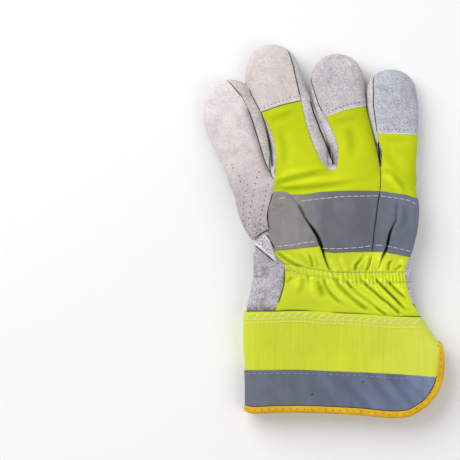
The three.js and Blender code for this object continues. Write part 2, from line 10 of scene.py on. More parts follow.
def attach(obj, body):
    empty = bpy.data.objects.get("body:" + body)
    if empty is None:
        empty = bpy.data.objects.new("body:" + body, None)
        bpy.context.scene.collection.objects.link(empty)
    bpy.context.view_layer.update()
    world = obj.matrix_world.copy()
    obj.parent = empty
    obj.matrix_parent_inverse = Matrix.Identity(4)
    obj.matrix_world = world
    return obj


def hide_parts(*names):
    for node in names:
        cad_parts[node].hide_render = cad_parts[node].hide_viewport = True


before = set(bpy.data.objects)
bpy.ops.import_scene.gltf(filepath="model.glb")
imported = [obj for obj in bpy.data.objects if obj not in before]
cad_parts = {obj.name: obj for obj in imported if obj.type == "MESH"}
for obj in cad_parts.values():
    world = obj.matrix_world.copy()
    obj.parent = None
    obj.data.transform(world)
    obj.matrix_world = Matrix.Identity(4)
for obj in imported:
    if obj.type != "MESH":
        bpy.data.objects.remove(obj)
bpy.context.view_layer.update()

MM = 0.001
STEP = 0.715  # places seen from above are written in steps of this many mm
ORIGIN = (323.5, 231.25)  # the frame's origin in those steps, from the upper left corner
SUEDE = 1.3  # thicknesses
FABRIC = 0.9
TAPE = 0.6
CANVAS = 1.8
BINDING = 0.6
LINING = 0.5
FINGER_ROUND = 2.5  # superellipse exponents of the cross-sections
HAND_ROUND = 2.7
LINING_ROUND = 2.6
CUFF_ROUND = 3.6
GAP = 0.3  # between two panels at a seam
EDGE_DROP = 0.25  # how far the edge of a cut sheet turns down
SHARP_ANGLE = 55  # degrees between two faces from which their edge is drawn sharp


def at(*points):
    """Places seen from straight above, given in steps from the upper left corner, in mm."""
    return np.array([((x - ORIGIN[0]) * STEP, (ORIGIN[1] - y) * STEP) for x, y in points])


# Digits: sections from the root to the start of the round tip: x, y, z, half width, half height
DIGITS = {
    "index": [(-48.5, 25, 23, 15, 7), (-53, 43, 18.5, 16.5, 8.2), (-59.4, 65, 12.5, 19.5, 8.4),
              (-65.6, 84, 8.8, 20.9, 8.4), (-67.8, 94.5, 7.6, 17.6, 8.2)],
    "middle": [(-13.9, 25, 20.5, 19, 7), (-15.6, 42, 17, 20.8, 8.4), (-18.2, 65, 12, 19.8, 8.6),
               (-26.8, 88, 9.2, 18.9, 8.4), (-36.4, 111.5, 7.6, 19.6, 8.2)],
    "ring": [(24.7, 25, 17.8, 16.5, 7), (23.2, 45, 14.8, 17, 8.2), (19.4, 65, 11, 16.6, 8.4),
             (12.8, 86, 8.8, 18.2, 8.4), (9.5, 106.5, 7.6, 19.1, 8.2)],
    "little": [(53.6, 25, 14.5, 11.4, 7), (53.3, 45, 12.4, 12.7, 8), (52.2, 65, 9.6, 15.4, 8.2),
               (49.8, 86.5, 8.2, 18, 8.2), (48.4, 99.5, 7.6, 17.6, 8.2)],
}
TIPS = {"index": (-69.5, 108.3), "middle": (-36.2, 133.4), "ring": (10.4, 126.7), "little": (49.6, 115.4)}

# The hand: y, left, right, middle height at left and right, half height, and the edges of the
# fabric: its left edge, the seam between its two panels and its right edge
HAND = np.array([
    (52.0, -64, 64.5, 17.0, 11.0, 0.6, -36, 40.4, 72),
    (46.0, -64, 64.5, 18.5, 11.8, 4.5, -36, 40.4, 72),
    (38.0, -66.3, 65.6, 21.8, 12.8, 7.8, -35, 40.4, 72),
    (30.0, -64.9, 65.5, 24.0, 13.5, 9.2, -35.4, 39.9, 72),
    (20.0, -62.6, 67.6, 25.0, 14.2, 9.4, -38.0, 38.2, 72),
    (9.0, -59.8, 67.6, 25.4, 14.6, 9.5, -40.3, 36.8, 72),
    (0.0, -55.4, 66.6, 25.2, 14.6, 9.6, -39.6, 35.5, 72),
    (-9.0, -50.1, 64.4, 24.4, 14.4, 9.9, -37.4, 34.7, 65),
    (-17.0, -50.2, 62.8, 22.8, 14.0, 10.0, -34.0, 33.4, 62.0),
    (-23.0, -50.2, 62.6, 21.2, 13.7, 9.8, -28.8, 32.0, 59.2),
    (-28.0, -50.2, 62.6, 20.0, 13.5, 9.4, -27.6, 31.4, 58.2),
    (-34.5, -50.8, 62.9, 18.6, 13.2, 9.4, -28.2, 33.0, 58.4),
    (-40.0, -51.8, 63.3, 17.4, 13.0, 9.9, -29.0, 37.0, 59.6),
    (-48.0, -53.6, 64.7, 16.0, 12.7, 10.0, -31.6, 42.0, 62.0),
    (-55.0, -55.0, 66.5, 14.6, 12.6, 9.6, -34.0, 47.0, 66.5),
    (-66.0, -54.6, 71.3, 13.2, 12.6, 8.6, -35.0, 51.0, 73.0),
])

# The thumb: x, y, z, half width, half height, and the angle of its width from +Y in degrees
THUMB = np.array([
    (-40.0, 16.5, 25.5, 14.5, 4.6, 20), (-48.0, 13.5, 21.5, 16.0, 5.0, 20),
    (-51.2, 12.0, 14.2, 17.0, 5.2, 20), (-47.5, 12.5, 7.8, 18.0, 5.8, 18),
    (-38.0, 15.5, 5.9, 18.6, 6.3, 14), (-20.0, 19.0, 5.4, 18.8, 5.9, 9),
    (-5.0, 21.0, 4.7, 17.6, 5.2, 7),
])
THUMB_TIP = np.array([10.5, 22.8, 3.6])

# The cuff: y, left, right, middle height at left and right, half height
CUFF = np.array([
    (-52.0, -56.8, 66.5, 13.8, 13.2, 12.3), (-61.0, -57.2, 70.0, 13.2, 12.8, 12.0),
    (-70.0, -57.4, 75.8, 12.4, 12.2, 11.5), (-78.5, -57.4, 82.0, 11.8, 11.6, 10.9),
    (-88.0, -56.9, 93.0, 11.2, 11.0, 10.4), (-104.0, -55.9, 98.0, 10.6, 10.6, 10.0),
    (-120.0, -55.7, 98.0, 10.2, 10.2, 9.6), (-136.0, -55.5, 98.0, 10.0, 10.0, 9.4),
])
CUFF_FLOOR = 1.1
LAST = 4  # position of a digit's last section, where its round tip starts

# Small tools


def smooth(t):
    """From 0 to 1 as t does, with level ends."""
    t = np.clip(t, 0, 1)
    return t * t * (3 - 2 * t)


def bell(x, wide):
    """From 1 where x is 0 down to nothing a few widths away."""
    return np.exp(-((x / wide) ** 2))


def blend(first, second, t):
    return first * (1 - t) + second * t


def even(count):
    return np.linspace(0, 1, count + 1)


def quarter(count):
    """Shares from 0 to 1, close together towards 1."""
    return np.sin(even(count) * math.pi / 2)


def unit(rows):
    """The same vectors, each of length 1."""
    return rows / np.maximum(np.linalg.norm(rows, axis=-1, keepdims=True), 1e-9)


def crown(u, power, least=1e-6):
    """Height of a cross-section over its middle, for u from -1 to 1 across it."""
    left = np.maximum(0, 1 - np.abs(u) ** power)
    return np.sqrt(left * left + least) ** (1 / power)


def ring(count, power):
    """The two coordinates of points round a cross-section of half sizes 1."""
    turn = np.linspace(0, 2 * math.pi, count + 1)
    u, v = np.cos(turn), np.sin(turn)
    stretch = (np.abs(u) ** power + np.abs(v) ** power) ** (-1 / power)
    return u * stretch, v * stretch


def through(rows, t):
    """Rows of numbers on a Catmull-Rom curve through the given rows, at t counted in rows."""
    rows = np.asarray(rows, float)
    t = np.clip(np.asarray(t, float), 0, len(rows) - 1)
    i = np.minimum(t.astype(int), len(rows) - 2)
    f = (t - i)[..., None]
    a, b, c, d = (rows[np.clip(i + k, 0, len(rows) - 1)] for k in (-1, 0, 1, 2))
    slope1, slope2, rise = (c - a) / 2, (d - b) / 2, c - b
    return b + f * slope1 + f * f * (3 * rise - 2 * slope1 - slope2) + f ** 3 * (slope1 + slope2 - 2 * rise)


def between(t, places, rows):
    """Rows of numbers at t, on straight lines between the given rows at these places."""
    return np.stack([np.interp(t, places, rows[:, k]) for k in range(rows.shape[1])], -1)


def lengths(line):
    """How far along a line each of its points is."""
    return np.concatenate([[0], np.cumsum(np.linalg.norm(np.diff(line, axis=0), axis=1))])


def resampled(line, share):
    """Points of a smooth line at shares of its length, from 0 to 1."""
    dense = through(line, np.linspace(0, len(line) - 1, 40 * len(line)))
    length = lengths(dense)
    return between(np.asarray(share) * length[-1], length, dense)


def spaced(line, step):
    """Points of a smooth line about step apart."""
    return resampled(line, even(max(2, int(round(lengths(line)[-1] / step)))))


def dense_rows(table):
    """A table's columns against its first one, on a fine smooth curve with y rising."""
    rows = through(table, np.linspace(0, len(table) - 1, 30 * len(table)))
    return rows[np.argsort(rows[:, 0])]


HAND_FINE = dense_rows(HAND)
CUFF_FINE = dense_rows(CUFF)


def column(fine, y, k):
    return np.interp(y, fine[:, 0], fine[:, k])


def section_at(fine, y):
    """Left, right, middle height at left and right, and half height of the hand or the cuff."""
    return [column(fine, y, k) for k in (1, 2, 3, 4, 5)]


def hand_height(x, y, side):
    """Height of the hand's back, or of its palm where side is -1. It ends under the fingers."""
    left, right, zl, zr, high = section_at(HAND_FINE, y)
    u = (2 * x - left - right) / (right - left)
    middle = (zl + zr) / 2 + (zr - zl) / 2 * np.clip(u, -1, 1)
    gone = np.clip((y - 46) / 5, 0, 1) * 14
    return middle + side * (high * crown(u, HAND_ROUND) - gone)


class Digit:
    """A finger as sections along its middle line, with a round tip."""

    def __init__(self, name):
        sections = np.array(DIGITS[name], float)
        body_t = np.linspace(0, LAST, 40 * LAST + 1)
        turn = even(40)[1:]
        start = sections[LAST]
        run = np.array(TIPS[name]) - start[:2]
        dome = np.repeat(start[None], len(turn), 0)
        dome[:, :2] = start[:2] + run * np.sin(turn * math.pi / 2)[:, None]
        dome[:, 3] *= np.cos(turn * math.pi / 2) ** 0.92
        dome[:, 4] *= np.cos(turn * math.pi / 2) ** 0.7
        self.t = np.concatenate([body_t, LAST + turn])
        self.rows = np.concatenate([through(sections, body_t), dome])
        along = np.gradient(self.rows[:, :2], axis=0)
        along[len(body_t):] = run
        reach = 24
        weight = bell(np.arange(-reach, reach + 1), 11.0)
        padded = np.pad(unit(along), ((reach, reach), (0, 0)), mode="edge")
        self.along = unit(np.stack([np.convolve(padded[:, k], weight, "valid") for k in range(2)], -1))
        self.across = np.stack([self.along[:, 1], -self.along[:, 0]], -1)

    def section(self, t):
        return between(t, self.t, self.rows), between(t, self.t, self.across)

    def place(self, t, u):
        rows, across = self.section(t)
        return rows[..., :2] + across * (rows[..., 3] * u)[..., None]

    def find(self, x, y):
        """Position t along the digit and u across it, for places seen from above."""
        shape = np.shape(x)
        p = np.stack([np.ravel(x), np.ravel(y)], -1)
        ahead = np.einsum("nk,mk->nm", p, self.along) - np.sum(self.rows[:, :2] * self.along, 1)[None]
        past = ahead < 0
        past[:, -1] = True
        j = np.clip(np.argmax(past, 1), 1, len(self.t) - 1)
        n = np.arange(len(p))
        before, after = ahead[n, j - 1], ahead[n, j]
        f = np.clip(before / np.where(np.abs(before - after) < 1e-9, 1, before - after), 0, 1)
        t = self.t[j - 1] + f * (self.t[j] - self.t[j - 1])
        rows, across = self.section(t)
        u = np.sum((p - rows[:, :2]) * across, 1) / np.maximum(rows[:, 3], 0.2)
        inside = (ahead[:, 0] > 0) & (ahead[:, -1] < 0)
        return t.reshape(shape), u.reshape(shape), inside.reshape(shape)

    def height(self, x, y, side):
        t, u, inside = self.find(x, y)
        rows, _ = self.section(t)
        beyond = 5 * (1 - smooth(t / 0.8)) + 60 * np.clip(np.abs(u) - 1.01, 0, 1)
        out = rows[..., 2] + side * (rows[..., 4] * crown(u, FINGER_ROUND) - beyond)
        return np.where(inside, out, -side * 99.0)


DIGIT = {name: Digit(name) for name in DIGITS}


def surface(x, y, names, side=1):
    """Height of the back, or of the palm side, over the hand and these digits."""
    heights = [hand_height(x, y, side)] + [DIGIT[name].height(x, y, side) for name in names]
    heights = side * np.stack(heights)
    top = heights.max(0)
    return side * (top + np.log(np.exp(heights - top).sum(0)))


# Meshes


def welded(blocks):
    """Grids of points as one list of points and one of faces, sharing the points that coincide."""
    points, quads, start = [], [], 0
    for grid in blocks:
        n, m = grid.shape[:2]
        index = start + np.arange(n * m).reshape(n, m)
        corners = [index[:-1, :-1], index[:-1, 1:], index[1:, 1:], index[1:, :-1]]
        quads.append(np.stack(corners, -1).reshape(-1, 4))
        points.append(grid.reshape(n * m, -1))
        start += n * m
    points, quads = np.concatenate(points), np.concatenate(quads)
    key = np.round(points[:, :3] * 2000 + 0.37).astype(np.int64)
    _, first, place = np.unique(key, axis=0, return_index=True, return_inverse=True)
    quads = place.reshape(-1)[quads]
    faces = []
    for quad in quads.tolist():
        face = [v for k, v in enumerate(quad) if v != quad[k - 1]]
        if len(set(face)) > 2 and len(set(face)) == len(face):
            faces.append(face)
    used = np.unique(np.concatenate([np.array(f) for f in faces]))
    renumber = np.zeros(len(first), int)
    renumber[used] = np.arange(len(used))
    return points[first][used], [[int(renumber[v]) for v in f] for f in faces]


def normals_of(points, faces):
    out = np.zeros_like(points)
    for size in (3, 4):
        group = np.array([f for f in faces if len(f) == size], int)
        if not len(group):
            continue
        a, b, c, d = (points[group[:, k]] for k in (0, 1, 2, -1))
        turn = np.cross(c - a, d - b) if size == 4 else np.cross(b - a, c - a)
        for k in range(size):
            np.add.at(out, group[:, k], turn)
    return unit(out)


def rims(faces):
    """Edges with a face on one side only, in the direction that their face runs."""
    count, kept = {}, {}
    for f in faces:
        for k in range(len(f)):
            a, b = f[k - 1], f[k]
            key = (min(a, b), max(a, b))
            count[key] = count.get(key, 0) + 1
            kept[key] = (a, b)
    return [kept[key] for key, n in count.items() if n == 1]


def closed_sheet(blocks, thick, flip=False):
    """Grids of points as a sheet: the surface, another one below it, and a rim between them.

    A fourth number says how deep each point is sunk.
    """
    points, faces = welded(blocks)
    if flip:
        faces = [f[::-1] for f in faces]
    if points.shape[1] > 3:
        sunk = points[:, 3:]
        points = points[:, :3] - normals_of(points[:, :3], faces) * sunk
    normals = normals_of(points, faces)
    rim = rims(faces)
    on_rim = np.unique(np.array(rim, int).reshape(-1))
    inner = points - normals * thick
    points[on_rim] -= normals[on_rim] * EDGE_DROP
    n = len(points)
    faces = list(faces)
    faces += [[v + n for v in reversed(f)] for f in faces]
    faces += [[b, a, a + n, b + n] for a, b in rim]
    return np.concatenate([points, inner]), faces


PIECES = {}


def make(name, points, faces, slot, material, stands_for=None):
    """A piece of the glove, from points in mm. It takes the place of the node that it stands for."""
    mesh = bpy.data.meshes.new(name)
    mesh.from_pydata((np.asarray(points) * MM).tolist(), [], faces)
    mesh.validate()
    mesh.materials.append(material)
    mesh.shade_smooth()
    mesh.set_sharp_from_angle(angle=math.radians(SHARP_ANGLE))
    obj = bpy.data.objects.new(name, mesh)
    bpy.context.scene.collection.objects.link(obj)
    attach(obj, "root")
    if stands_for:
        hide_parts(stands_for)
    PIECES[name] = obj
    return obj


def joined(parts):
    """Several lists of points and faces as one."""
    points, faces, start = [], [], 0
    for p, f in parts:
        points.append(p)
        faces += [[v + start for v in face] for face in f]
        start += len(p)
    return np.concatenate(points), faces


def round_ends(count, start=True, end=True):
    """Shares from 0 to 1, close together at the ends that turn down at an outline."""
    if start and end:
        return (1 - np.cos(math.pi * even(count))) / 2
    return 1 - np.cos(even(count) * math.pi / 2) if start else quarter(count)


# Folds of the fabric

# Each fold: its line seen from above, depth in mm (a ridge where negative), width, and how far
# along its line it comes in and goes out again, as shares
SOFT_FOLDS = [
    # from the hub at the index finger across the knuckles
    (at((275, 184.6), (282.5, 182), (293, 179), (308, 175.4), (323.5, 172.8), (333, 174)),
     0.9, 1.9, 0.1, 0.5),
    (at((274, 187), (282.5, 188.7), (296, 189), (319, 187), (340, 184), (354, 182), (367, 181)),
     0.8, 1.7, 0.1, 0.5),
    (at((281, 176), (292, 172), (303, 170)), -0.5, 2.2, 0.3, 0.5),
    (at((279, 186.4), (300, 183.6), (322, 180), (345, 177)), -0.7, 2.4, 0.3, 0.5),
    # the little finger's panel
    (at((382, 170), (392, 174.4), (400.5, 183.6), (409.7, 193.8)), 0.8, 1.9, 0.2, 0.4),
    (at((383, 150), (389, 160), (398, 172), (408, 182)), 0.5, 2.6, 0.3, 0.4),
    (at((386, 172), (396, 184), (403, 196)), -0.5, 2.2, 0.3, 0.4),
    # the fingers
    (at((268, 122), (282, 117), (296, 113)), 0.45, 2.2, 0.3, 0.4),
    (at((280, 132), (284, 152), (281, 170)), 0.6, 3.0, 0.3, 0.4),
    (at((334, 124), (346, 121), (360, 118)), 0.3, 2.2, 0.3, 0.4),
    (at((347, 126), (352, 142), (352, 160)), 0.6, 3.2, 0.3, 0.4),
    (at((384, 142), (395, 140), (410, 142)), 0.3, 2.2, 0.3, 0.4),
    # on the tape
    (at((272, 204), (278, 207), (285.6, 205.6)), 0.25, 1.3, 0.2, 0.4),
    (at((271, 209.5), (276, 211), (281, 209)), 0.2, 1.3, 0.2, 0.4),
    (at((297, 205), (301, 210), (305.5, 217.5)), 0.5, 1.8, 0.2, 0.3),
    (at((396.4, 201), (396.4, 211), (395.3, 219.5), (392.3, 226)), 0.5, 1.5, 0.3, 0.2),
    (at((404, 204), (405, 216), (403, 230)), 0.35, 2.6, 0.3, 0.4),
    # above the elastic
    (at((275.7, 251.6), (287.5, 260.4), (295.7, 265), (303, 267)), 1.1, 0.95, 0.15, 0.2),
    (at((285, 254), (293, 260), (299, 264)), -0.5, 1.4, 0.3, 0.3),
    (at((297.7, 252), (303, 259), (308, 264.5), (309.5, 268.6)), 0.3, 1.1, 0.3, 0.1),
    (at((307, 252), (311, 260.4), (312.4, 268)), 1.1, 1.0, 0.6, 0.1),
    (at((312, 250), (316, 259), (318.5, 267)), 0.4, 1.0, 0.7, 0.1),
    (at((364.4, 254), (359, 261.4), (356, 264.5), (354.7, 271)), 1.15, 1.0, 0.7, 0.1),
    (at((370.6, 255), (369, 262.4), (366.5, 271)), 1.05, 0.9, 0.3, 0.1),
    (at((392, 260.4), (388.5, 264), (388, 271)), 1.1, 1.0, 0.3, 0.1),
    (at((402, 265), (398, 268), (394, 271)), 0.75, 1.0, 0.3, 0.1),
    (at((340.6, 256), (342, 262), (345, 267), (346, 272)), -0.7, 1.6, 0.4, 0.1),
    (at((379, 256), (381, 264), (381, 272)), -0.9, 1.8, 0.3, 0.1),
    (at((400, 259), (402, 262), (403, 266)), -0.6, 1.6, 0.3, 0.1),
    (at((329, 258), (334, 266), (337, 272)), -0.7, 2.2, 0.4, 0.1),
    # below the elastic
    (at((323.4, 278.8), (326, 286), (328.7, 291), (332.3, 296), (337.8, 301), (343.5, 306.5)),
     1.15, 1.2, 0.08, 0.35),
    (at((320, 284), (323, 292), (329, 299)), 0.7, 2.6, 0.3, 0.5),
    (at((334.5, 277), (339, 286), (344, 291), (349.3, 296), (355.5, 301), (361.5, 306), (368.5, 310.8)),
     1.1, 1.4, 0.1, 0.12),
    (at((344.5, 279), (350, 286), (355, 291), (361, 296), (368, 301), (374, 306), (379.4, 310.6)),
     0.8, 0.95, 0.1, 0.2),
    (at((345.5, 280.5), (350, 286), (353.5, 289.5)), 0.6, 0.9, 0.3, 0.4),
    (at((374.6, 306.6), (379, 310.3), (383.5, 313.4), (387, 316)), 1.2, 0.9, 0.35, 0.2),
    (at((359, 278.5), (367, 286), (373, 291), (379, 296), (385, 301), (391, 306), (396.5, 311),
        (401, 315.4)), 1.45, 0.95, 0.15, 0.1),
    (at((374, 278), (382, 286), (387, 291), (392, 296), (397, 301), (401.5, 306), (406, 310.4),
        (410, 314)), 1.95, 0.9, 0.15, 0.45),
    (at((385.5, 279.6), (392, 286), (397, 291), (402.6, 296), (407.4, 301)), 1.4, 0.85, 0.2, 0.3),
    (at((291.6, 277.8), (286.5, 284)), 0.7, 1.1, 0.1, 0.4),
    (at((307.5, 275.7), (308.5, 282), (309.5, 286)), 0.8, 1.0, 0.1, 0.5),
    (at((312, 276), (313, 289), (316, 300)), -0.9, 2.2, 0.1, 0.5),
    (at((303, 279), (302, 287), (298, 297)), 0.6, 1.6, 0.1, 0.5),
    (at((318, 281), (321, 291), (322, 300)), 0.7, 1.4, 0.1, 0.5),
    (at((298, 277), (297, 284), (296, 290)), -0.4, 1.8, 0.1, 0.5),
    (at((326.5, 280), (329, 286), (332.6, 291), (336.8, 296), (343, 301), (348, 306)),
     -1.0, 1.3, 0.15, 0.4),
    (at((338.6, 280), (344, 286), (348.4, 291), (353, 296), (360, 301), (367, 306), (372.4, 310)),
     -1.1, 1.3, 0.1, 0.2),
    (at((348.6, 279.6), (353.6, 286), (358.6, 291), (364.6, 296), (371.6, 301), (377.6, 306),
        (382, 309.4)),
     -1.1, 1.3, 0.1, 0.2),
    (at((363.6, 279), (371, 286), (376.8, 291), (382.8, 296), (388.8, 301), (394.4, 306), (398.6, 310)),
     -1.25, 1.3, 0.1, 0.15),
    (at((378, 279.6), (385.6, 286), (390.8, 291), (395.8, 296), (401, 301), (405.6, 306), (409.6, 310)),
     -1.25, 1.2, 0.1, 0.15),
    (at((396, 283), (400, 287), (403.4, 291), (406, 295)), -0.7, 1.1, 0.3, 0.4),
]
# Sharp folds that lap to the right: line, depth of the gap, height and overhang of the lip
LAPPED_FOLDS = [
    (at((285, 190.8), (287.6, 195.4), (291.7, 201), (296.9, 207), (301, 215.4), (306, 223.6),
        (311, 230.8), (315.3, 238), (318, 245), (320.4, 251.8), (323, 260), (325.6, 266.5),
        (329.2, 272.7), (334.2, 277.8)),
     4.4, 1.5, 1.3, [(0, 0.03), (0.2, 0.08), (0.3, 0.16), (0.4, 0.4), (0.49, 0.95), (0.63, 1.1), (0.7, 0.72),
                     (0.77, 0.42), (0.86, 0.28), (0.93, 0.12), (1, 0)]),
    (at((395.5, 212), (394, 220), (391, 224.6), (387.6, 231.8), (385.6, 240), (384.2, 247), (382, 252),
        (378.8, 260), (376.4, 270.6)),
     3.2, 0.9, 0.8, [(0, 0), (0.12, 0.05), (0.22, 0.3), (0.34, 0.7), (0.5, 0.95), (0.66, 0.8), (0.8, 0.5),
                     (0.92, 0.35), (1, 0.05)]),
]
# Puckers between the two rows of elastic stitching: place along the rows and depth
PUCKERS = [
    (286, 0.3), (290.5, 0.35), (295, 0.4), (299, 0.5), (303.5, 0.45), (307.5, 0.6), (311.5, 0.5),
    (315.5, 0.55), (319.5, 0.5), (324, 0.6), (329, 0.6), (334, 0.9), (339, 0.8), (344, 1.0), (349, 0.9),
    (352.8, 0.8), (357, 1.0), (361, 0.9), (366.3, 1.1), (370, 0.8), (373.6, 1.0), (377, 0.9),
    (380.2, 0.9), (383.5, 1.0), (386.7, 0.8), (390, 1.0), (393.4, 0.9), (397, 0.8), (400.6, 0.8),
    (404, 0.6),
]
ELASTIC_UPPER = at((281, 263.6), (288.5, 265), (297.7, 266.3), (309, 269.4), (322.4, 271.2),
                   (330.6, 272.7), (352, 273.2), (375.7, 272.9), (406, 272.9))
ELASTIC_LOWER = at((281, 269.6), (290, 271.6), (297.7, 274.2), (311, 276.8), (319.3, 277.3),
                   (331.6, 278.8), (339.8, 281.4), (352, 282.4), (366.5, 283.4), (389, 282.9),
                   (407, 282.4))


def near(x, y, line):
    """Distance to a line, positive on its right going down it, and the share of its length there."""
    line = spaced(line, 1.5)
    done = lengths(line)
    best = np.full(x.shape, 1e9)
    signed, share = best.copy(), np.zeros(x.shape)
    for (ax, ay), (bx, by), before, after in zip(line[:-1], line[1:], done[:-1], done[1:]):
        dx, dy, step = bx - ax, by - ay, after - before
        f = np.clip(((x - ax) * dx + (y - ay) * dy) / step ** 2, 0, 1)
        ex, ey = x - ax - f * dx, y - ay - f * dy
        away = np.hypot(ex, ey)
        closer = away < best
        best = np.where(closer, away, best)
        signed = np.where(closer, np.where(dx * ey - dy * ex > 0, away, -away), signed)
        share = np.where(closer, (before + f * step) / done[-1], share)
    return signed, share


def close_to(x, y, line, margin):
    """Which places lie in the box round a line, widened by a margin."""
    low, high = line.min(0) - margin, line.max(0) + margin
    return np.nonzero((x > low[0]) & (x < high[0]) & (y > low[1]) & (y < high[1]))[0]


FOLD_SCALE = 1.45
LAP_REACH = 26  # how far from a lapped fold the cloth still lifts


def soft_fold(x, y, line, deep, wide, fade_in, fade_out):
    """How far a soft fold lowers the cloth here. Its two sides stand up a little."""
    away, share = near(x, y, line)
    level = smooth(share / fade_in + 0.15) * smooth((1 - share) / fade_out + 0.1)
    sides = 0.28 * bell(np.abs(away) - 2 * wide, 1.1 * wide) * (deep > 0)
    return deep * level * (bell(away, wide) - sides)


def lapped_fold(x, y, line, deep, lip, lean, levels):
    """How far a lapped fold moves the cloth here, in x, y and z."""
    away, share = near(x, y, line)
    level = np.interp(share, *zip(*levels))
    before = np.exp(np.minimum(away, 0) / 9.0) * (1 - 0.35 * np.exp(away / 1.2))
    rise = np.where(away < 0, before, 0.65 * bell(away, 0.5))
    gap = bell(away - 1.35, 0.6 + 0.42 * level)
    shoulder = 0.25 * lip * bell(away - 5.0, 2.6)
    up = level * bell(away, 30) * (lip * rise - deep * gap + shoulder)
    push = lean * level * (bell(away + 0.35, 1.1) - 0.6 * bell(away - 1.6, 0.9))
    run = unit(line[-1] - line[0])
    return np.stack([-run[1] * push, run[0] * push, FOLD_SCALE * up], -1)


def gathered(x, y):
    """How far the elastic and the puckers between its two rows of stitches lower the cloth here."""
    down = np.zeros(x.shape)
    for place, deep in PUCKERS:
        start = at((place - 0.8, 0))[0, 0]
        top, bottom = (np.interp(start, *row.T) for row in (ELASTIC_UPPER, ELASTIC_LOWER))
        middle, half = (top + bottom) / 2, (top - bottom) / 2 + 1.4
        lean = x - start + 0.10 * (y - middle)
        reach = np.exp(-np.clip(np.abs(y - middle) / half, 0, 3) ** 4)
        down += 0.95 * deep * reach * (bell(lean, 0.75) - 0.25) * (np.abs(lean) < 4)
    for row in (ELASTIC_UPPER, ELASTIC_LOWER):
        down += 0.55 * bell(y - np.interp(x, *row.T), 0.8) * (x > -31) * (x < 60)
    return down


def folded(points):
    """The same points of the back, moved by the folds of the fabric."""
    flat = points.reshape(-1, 3)
    out = flat.copy()
    x, y = flat[:, 0], flat[:, 1]
    for line, deep, wide, *fades in SOFT_FOLDS:
        pick = close_to(x, y, line, 4 * wide)
        out[pick, 2] -= FOLD_SCALE * soft_fold(x[pick], y[pick], line, deep, wide, *fades)
    for line, *shape in LAPPED_FOLDS:
        pick = close_to(x, y, line, LAP_REACH)
        out[pick] += lapped_fold(x[pick], y[pick], line, *shape)
    out[:, 2] -= FOLD_SCALE * gathered(x, y)
    return out.reshape(points.shape)


# Panels


def coons(low, high, left, right):
    """A grid of places between four lines: low and high run across, left and right run up."""
    s = even(len(low) - 1)[None, :, None]
    t = even(len(left) - 1)[:, None, None]
    flat = (1 - t) * low[None] + t * high[None] + (1 - s) * left[:, None] + s * right[:, None]
    corners = (1 - s) * (1 - t) * low[0] + s * (1 - t) * low[-1] + (1 - s) * t * high[0] + s * t * high[-1]
    return flat - corners


def patch(low, high, left, right, rows):
    return coons(low, high, resampled(left, even(rows)), resampled(right, even(rows)))


def stacked(places, z, sink=0.0):
    """Places with a height, and with how deep each point is sunk into the surface."""
    more = [np.broadcast_to(k, places.shape[:-1])[..., None] for k in (z, sink)]
    return np.concatenate([places, *more], -1)


def with_height(places, names, sink=0.0):
    return stacked(places, surface(places[..., 0], places[..., 1], names), sink)


# Seams near the tips: angle round the tip in degrees, and the seam's place across it
TIP_SEAMS = {
    "index": {"left": None, "right": "tip"},
    "middle": {"left": None, "right": [(0, 0.8), (25, 0.76), (45, 0.82), (56, 0.9), (62, 1), (90, 1)]},
    "ring": {"left": [(0, -0.93), (14, -1), (90, -1)], "right": None},
    "little": {"left": [(0, -0.705), (20, -0.78), (36, -0.9), (47, -1), (90, -1)], "right": None},
}


def tip_seam(name, side, angle):
    """Place across the round end of a digit, from -1 to 1, of its seam at these angles."""
    seam = TIP_SEAMS[name][side]
    if seam is None:
        return np.full(np.shape(angle), -1.0 if side == "left" else 1.0)
    if seam == "tip":
        half = 17.6 * np.maximum(np.cos(np.radians(angle)), 1e-4) ** 0.92
        return np.clip(9.5 * (1 - np.sin(np.radians(angle))) ** 0.9 / half, 0, 1)
    return np.interp(angle, *zip(*seam))


def tip_angles(rows):
    return 90 * quarter(rows) ** 0.9


def on_digit(name, t, u, side, sink=0.0):
    rows, across = DIGIT[name].section(t)
    places = rows[..., :2] + across * (rows[..., 3] * u)[..., None]
    return stacked(places, rows[..., 2] + side * rows[..., 4] * crown(u, FINGER_ROUND), sink)


def tip_grid(name, rows, columns, lift):
    """The round end of a panel, from the last section to the tip, between its two seams."""
    angle = tip_angles(rows)[:, None]
    u = blend(tip_seam(name, "left", angle), tip_seam(name, "right", angle), columns[None])
    return on_digit(name, np.repeat(LAST + angle / 90, len(columns), 1), u, 1, lift)


def outline_of(name, u, start, count, stop=LAST):
    """A digit's outline from position start to its last section."""
    t = np.linspace(start, stop, count + 1)
    return DIGIT[name].place(t, np.full(count + 1, float(u)))


def position(name, place):
    """Position along a digit of a place seen from above."""
    t, _, _ = DIGIT[name].find(*np.reshape(place, (2, 1)))
    return float(t[0])


# Lines seen from above. Seams of the fingers run from the root up to the last section.
CROTCH_INDEX = at((273.2, 179.5))[0]
CROTCH_MIDDLE = at((332.0, 170.8))[0]
CROTCH_RING = at((380.0, 168.0))[0]
MIDDLE_LEFT = at((273.2, 179.5), (275.2, 170), (276, 155), (274, 140), (268, 125), (261.6, 113))
MIDDLE_RIGHT = at((332, 170.8), (326, 167.5), (320, 160), (313, 145), (307, 128), (303, 111),
                  (300.8, 100))
MIDDLE_CAP_RIGHT = at((300.8, 100), (298.6, 91), (296, 82))
RING_LEFT = at((332, 170.8), (336.6, 167), (337.6, 158), (338, 148), (336, 140), (332, 130),
               (325.6, 117))
RING_CAP_LEFT = at((325.6, 117), (321, 109), (317.6, 101), (314.5, 92))
LITTLE_LEFT = at((380, 168), (381, 160), (381, 150), (378.4, 142), (377.2, 133))
LITTLE_CAP_LEFT = at((377.2, 133), (375.4, 119), (373.6, 105), (373, 99))
INDEX_RIGHT = at((273.2, 179.5), (264.8, 162), (258, 140), (250, 115), (243.5, 102))
